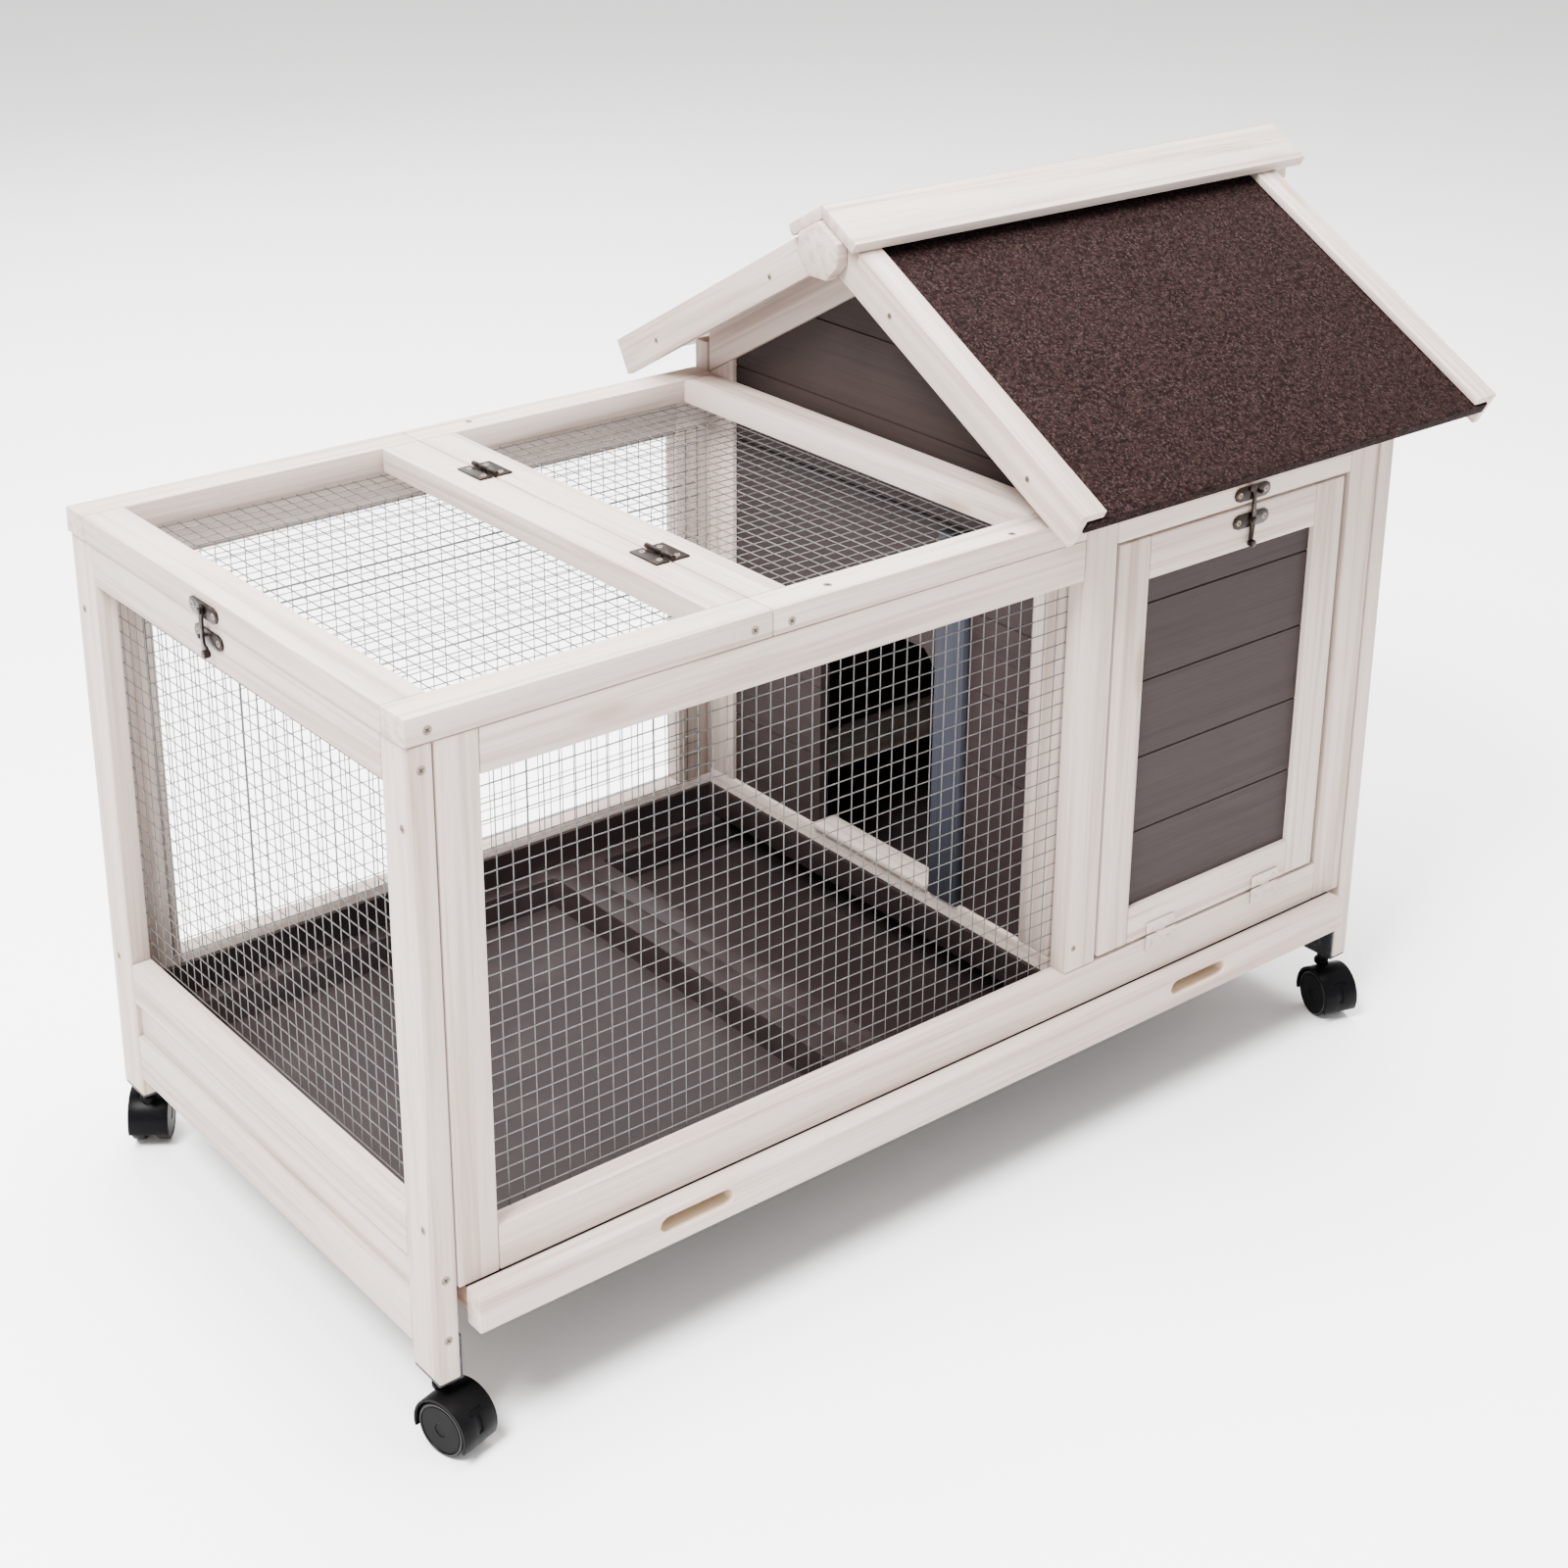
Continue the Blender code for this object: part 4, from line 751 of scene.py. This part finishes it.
def build_hood(corner, stem, hub, axle):
    """The hood over both wheels, the web between them and the pin with its collar."""
    bm = bmesh.new()
    trail = Vector((hub.x - stem.x, hub.y - stem.y, 0)).normalized()
    up = Vector((0, 0, 1))

    def spun(profile):
        """Turns (radius, place along the axle) points around the hub."""
        way = trail * math.cos(HOOD_FROM) + up * math.sin(HOOD_FROM)
        ring = [hub + way * r * MM + axle * a * MM for r, a in profile]
        face = bm.faces.new([bm.verts.new(point) for point in ring])
        bmesh.ops.spin(bm, geom=[face], cent=hub, axis=trail.cross(up), angle=HOOD_SWEEP, steps=HOOD_STEPS)

    def notched(face):
        """Whether a face of the hood's outside lies in the recess."""
        middle = face.calc_center_median() - hub
        around = math.degrees(math.atan2(middle.z, middle.dot(trail)))
        offset = middle.dot(axle)
        outside = (middle - axle * offset).length > (HOOD_INNER + HOOD_OUTER) / 2 * MM
        half = BAR_HALF if BAR_FROM < around < BAR_TO else STEM_HALF
        return outside and abs(offset) < half * MM and STEM_FROM < around < BAR_TO

    across = (-HOOD_HALF, -BAR_HALF, -STEM_HALF, STEM_HALF, BAR_HALF, HOOD_HALF)
    spun([(HOOD_INNER, -HOOD_HALF)] + [(HOOD_OUTER, a) for a in across] + [(HOOD_INNER, HOOD_HALF)])
    spun(((WEB_INNER, -WEB_HALF), (WEB_OUTER, -WEB_HALF), (WEB_OUTER, WEB_HALF), (WEB_INNER, WEB_HALF)))
    bmesh.ops.remove_doubles(bm, verts=bm.verts, dist=0.000001)
    bmesh.ops.recalc_face_normals(bm, faces=bm.faces)
    bmesh.ops.inset_region(bm, faces=[f for f in bm.faces if notched(f)], thickness=0.3 * MM,
                           depth=-RECESS_DEPTH * MM, use_boundary=True, use_even_offset=True)
    bevel(bm, sharp_edges(bm, 60.0), 0.4)
    for low, top, radius, soft in ((PIN_LOW, PIN_TOP, PIN_RADIUS, 0.4),
                                   (COLLAR_LOW, COLLAR_TOP, COLLAR_RADIUS, 0.6)):
        rod(bm, Vector((stem.x, stem.y, low * MM)), Vector((stem.x, stem.y, top * MM)), radius, 24, soft)
    finished("hood_" + corner, bm, "nylon", "caster_" + corner, ("caster_hood_" + corner,))


# Panels, trays and drawer, which keep their CAD shape


def dress(node, look):
    """Gives a CAD node's own mesh a look."""
    part = frame["nodes"][node]
    part.data.materials.clear()
    part.data.materials.append(looks[look])


def build_panels():
    for node in ("house_back_boards", "door_boards"):
        dress(node, ("grey", "x"))
    for node in ("partition_boards", "right_end_boards"):
        dress(node, ("grey", "y"))


def build_drawer():
    """The drawer with bare wood inside its hand slots, its trays, and the kick board of the run."""
    front = softened("drawer_front", ("white", "x"), "drawer", 1.4)
    front.data.materials.append(looks["bare"])
    for face in front.data.polygons:
        where = (face.center - CORNER) / MM
        off_centre = min(abs(where.x - centre) for centre in SLOT_CENTRES)
        inside = off_centre < SLOT_HALF_LENGTH and abs(where.z - SLOT_Z) < SLOT_HALF_HEIGHT
        face.material_index = int(inside and abs(face.normal.y) < 0.8)
    softened("drawer_frame", ("pine", "y"), "drawer", 0.8)
    softened("tray_left", "tray", "drawer", 1.0, 3)
    softened("tray_right", "tray", "drawer", 1.0, 3)
    softened("kick_board", "kick", "hutch", 0.5)


# Studio


def build_studio():
    bm = bmesh.new()
    bmesh.ops.create_grid(bm, x_segments=1, y_segments=1, size=FLOOR_SIZE)
    mesh = bpy.data.meshes.new("floor")
    bm.to_mesh(mesh)
    bm.free()
    floor = bpy.data.objects.new("floor", mesh)
    bpy.context.scene.collection.objects.link(floor)
    pale = Finish("pale_floor", Base_Color=rgb(FLOOR_GREY, FLOOR_GREY, FLOOR_GREY), Roughness=0.9)
    mesh.materials.append(pale.material)
    floor.location.z = -FLOOR_DROP

    world = bpy.data.worlds.new("studio")
    bpy.context.scene.world = world
    world.use_nodes = True
    background = world.node_tree.nodes["Background"]
    background.inputs["Color"].default_value = rgb(1.0, 0.99, 0.975)
    background.inputs["Strength"].default_value = WORLD_STRENGTH
    for name, place, size, power in LIGHTS:
        lamp = bpy.data.lights.new(name, "AREA")
        lamp.size = size
        lamp.energy = power
        light = bpy.data.objects.new(name, lamp)
        light.location = place
        light.rotation_euler = (Vector(LIGHTS_AIM) - Vector(place)).to_track_quat("-Z", "Y").to_euler()
        bpy.context.scene.collection.objects.link(light)


def build_camera():
    level = math.cos(CAMERA_ELEVATION)
    back = Vector((math.sin(CAMERA_AZIMUTH) * level, -math.cos(CAMERA_AZIMUTH) * level,
                   math.sin(CAMERA_ELEVATION)))
    camera = bpy.data.cameras.new("camera")
    camera.lens = LENS
    camera.shift_x, camera.shift_y = SHIFT_X, SHIFT_Y
    holder = bpy.data.objects.new("camera", camera)
    aim = (-back).to_track_quat("-Z", "Y")
    holder.rotation_euler = (aim.to_matrix() @ Matrix.Rotation(CAMERA_ROLL, 3, "Z")).to_euler()
    holder.location = at(*CAMERA_PLACE)
    bpy.context.scene.collection.objects.link(holder)
    bpy.context.scene.camera = holder


build_posts()
build_front()
build_back()
build_ends()
build_partition()
build_tops()
build_door()
build_roof()
build_meshes()
build_frame_screws()
build_hinges()
build_latches()
build_casters()
build_panels()
build_drawer()
build_studio()
build_camera()
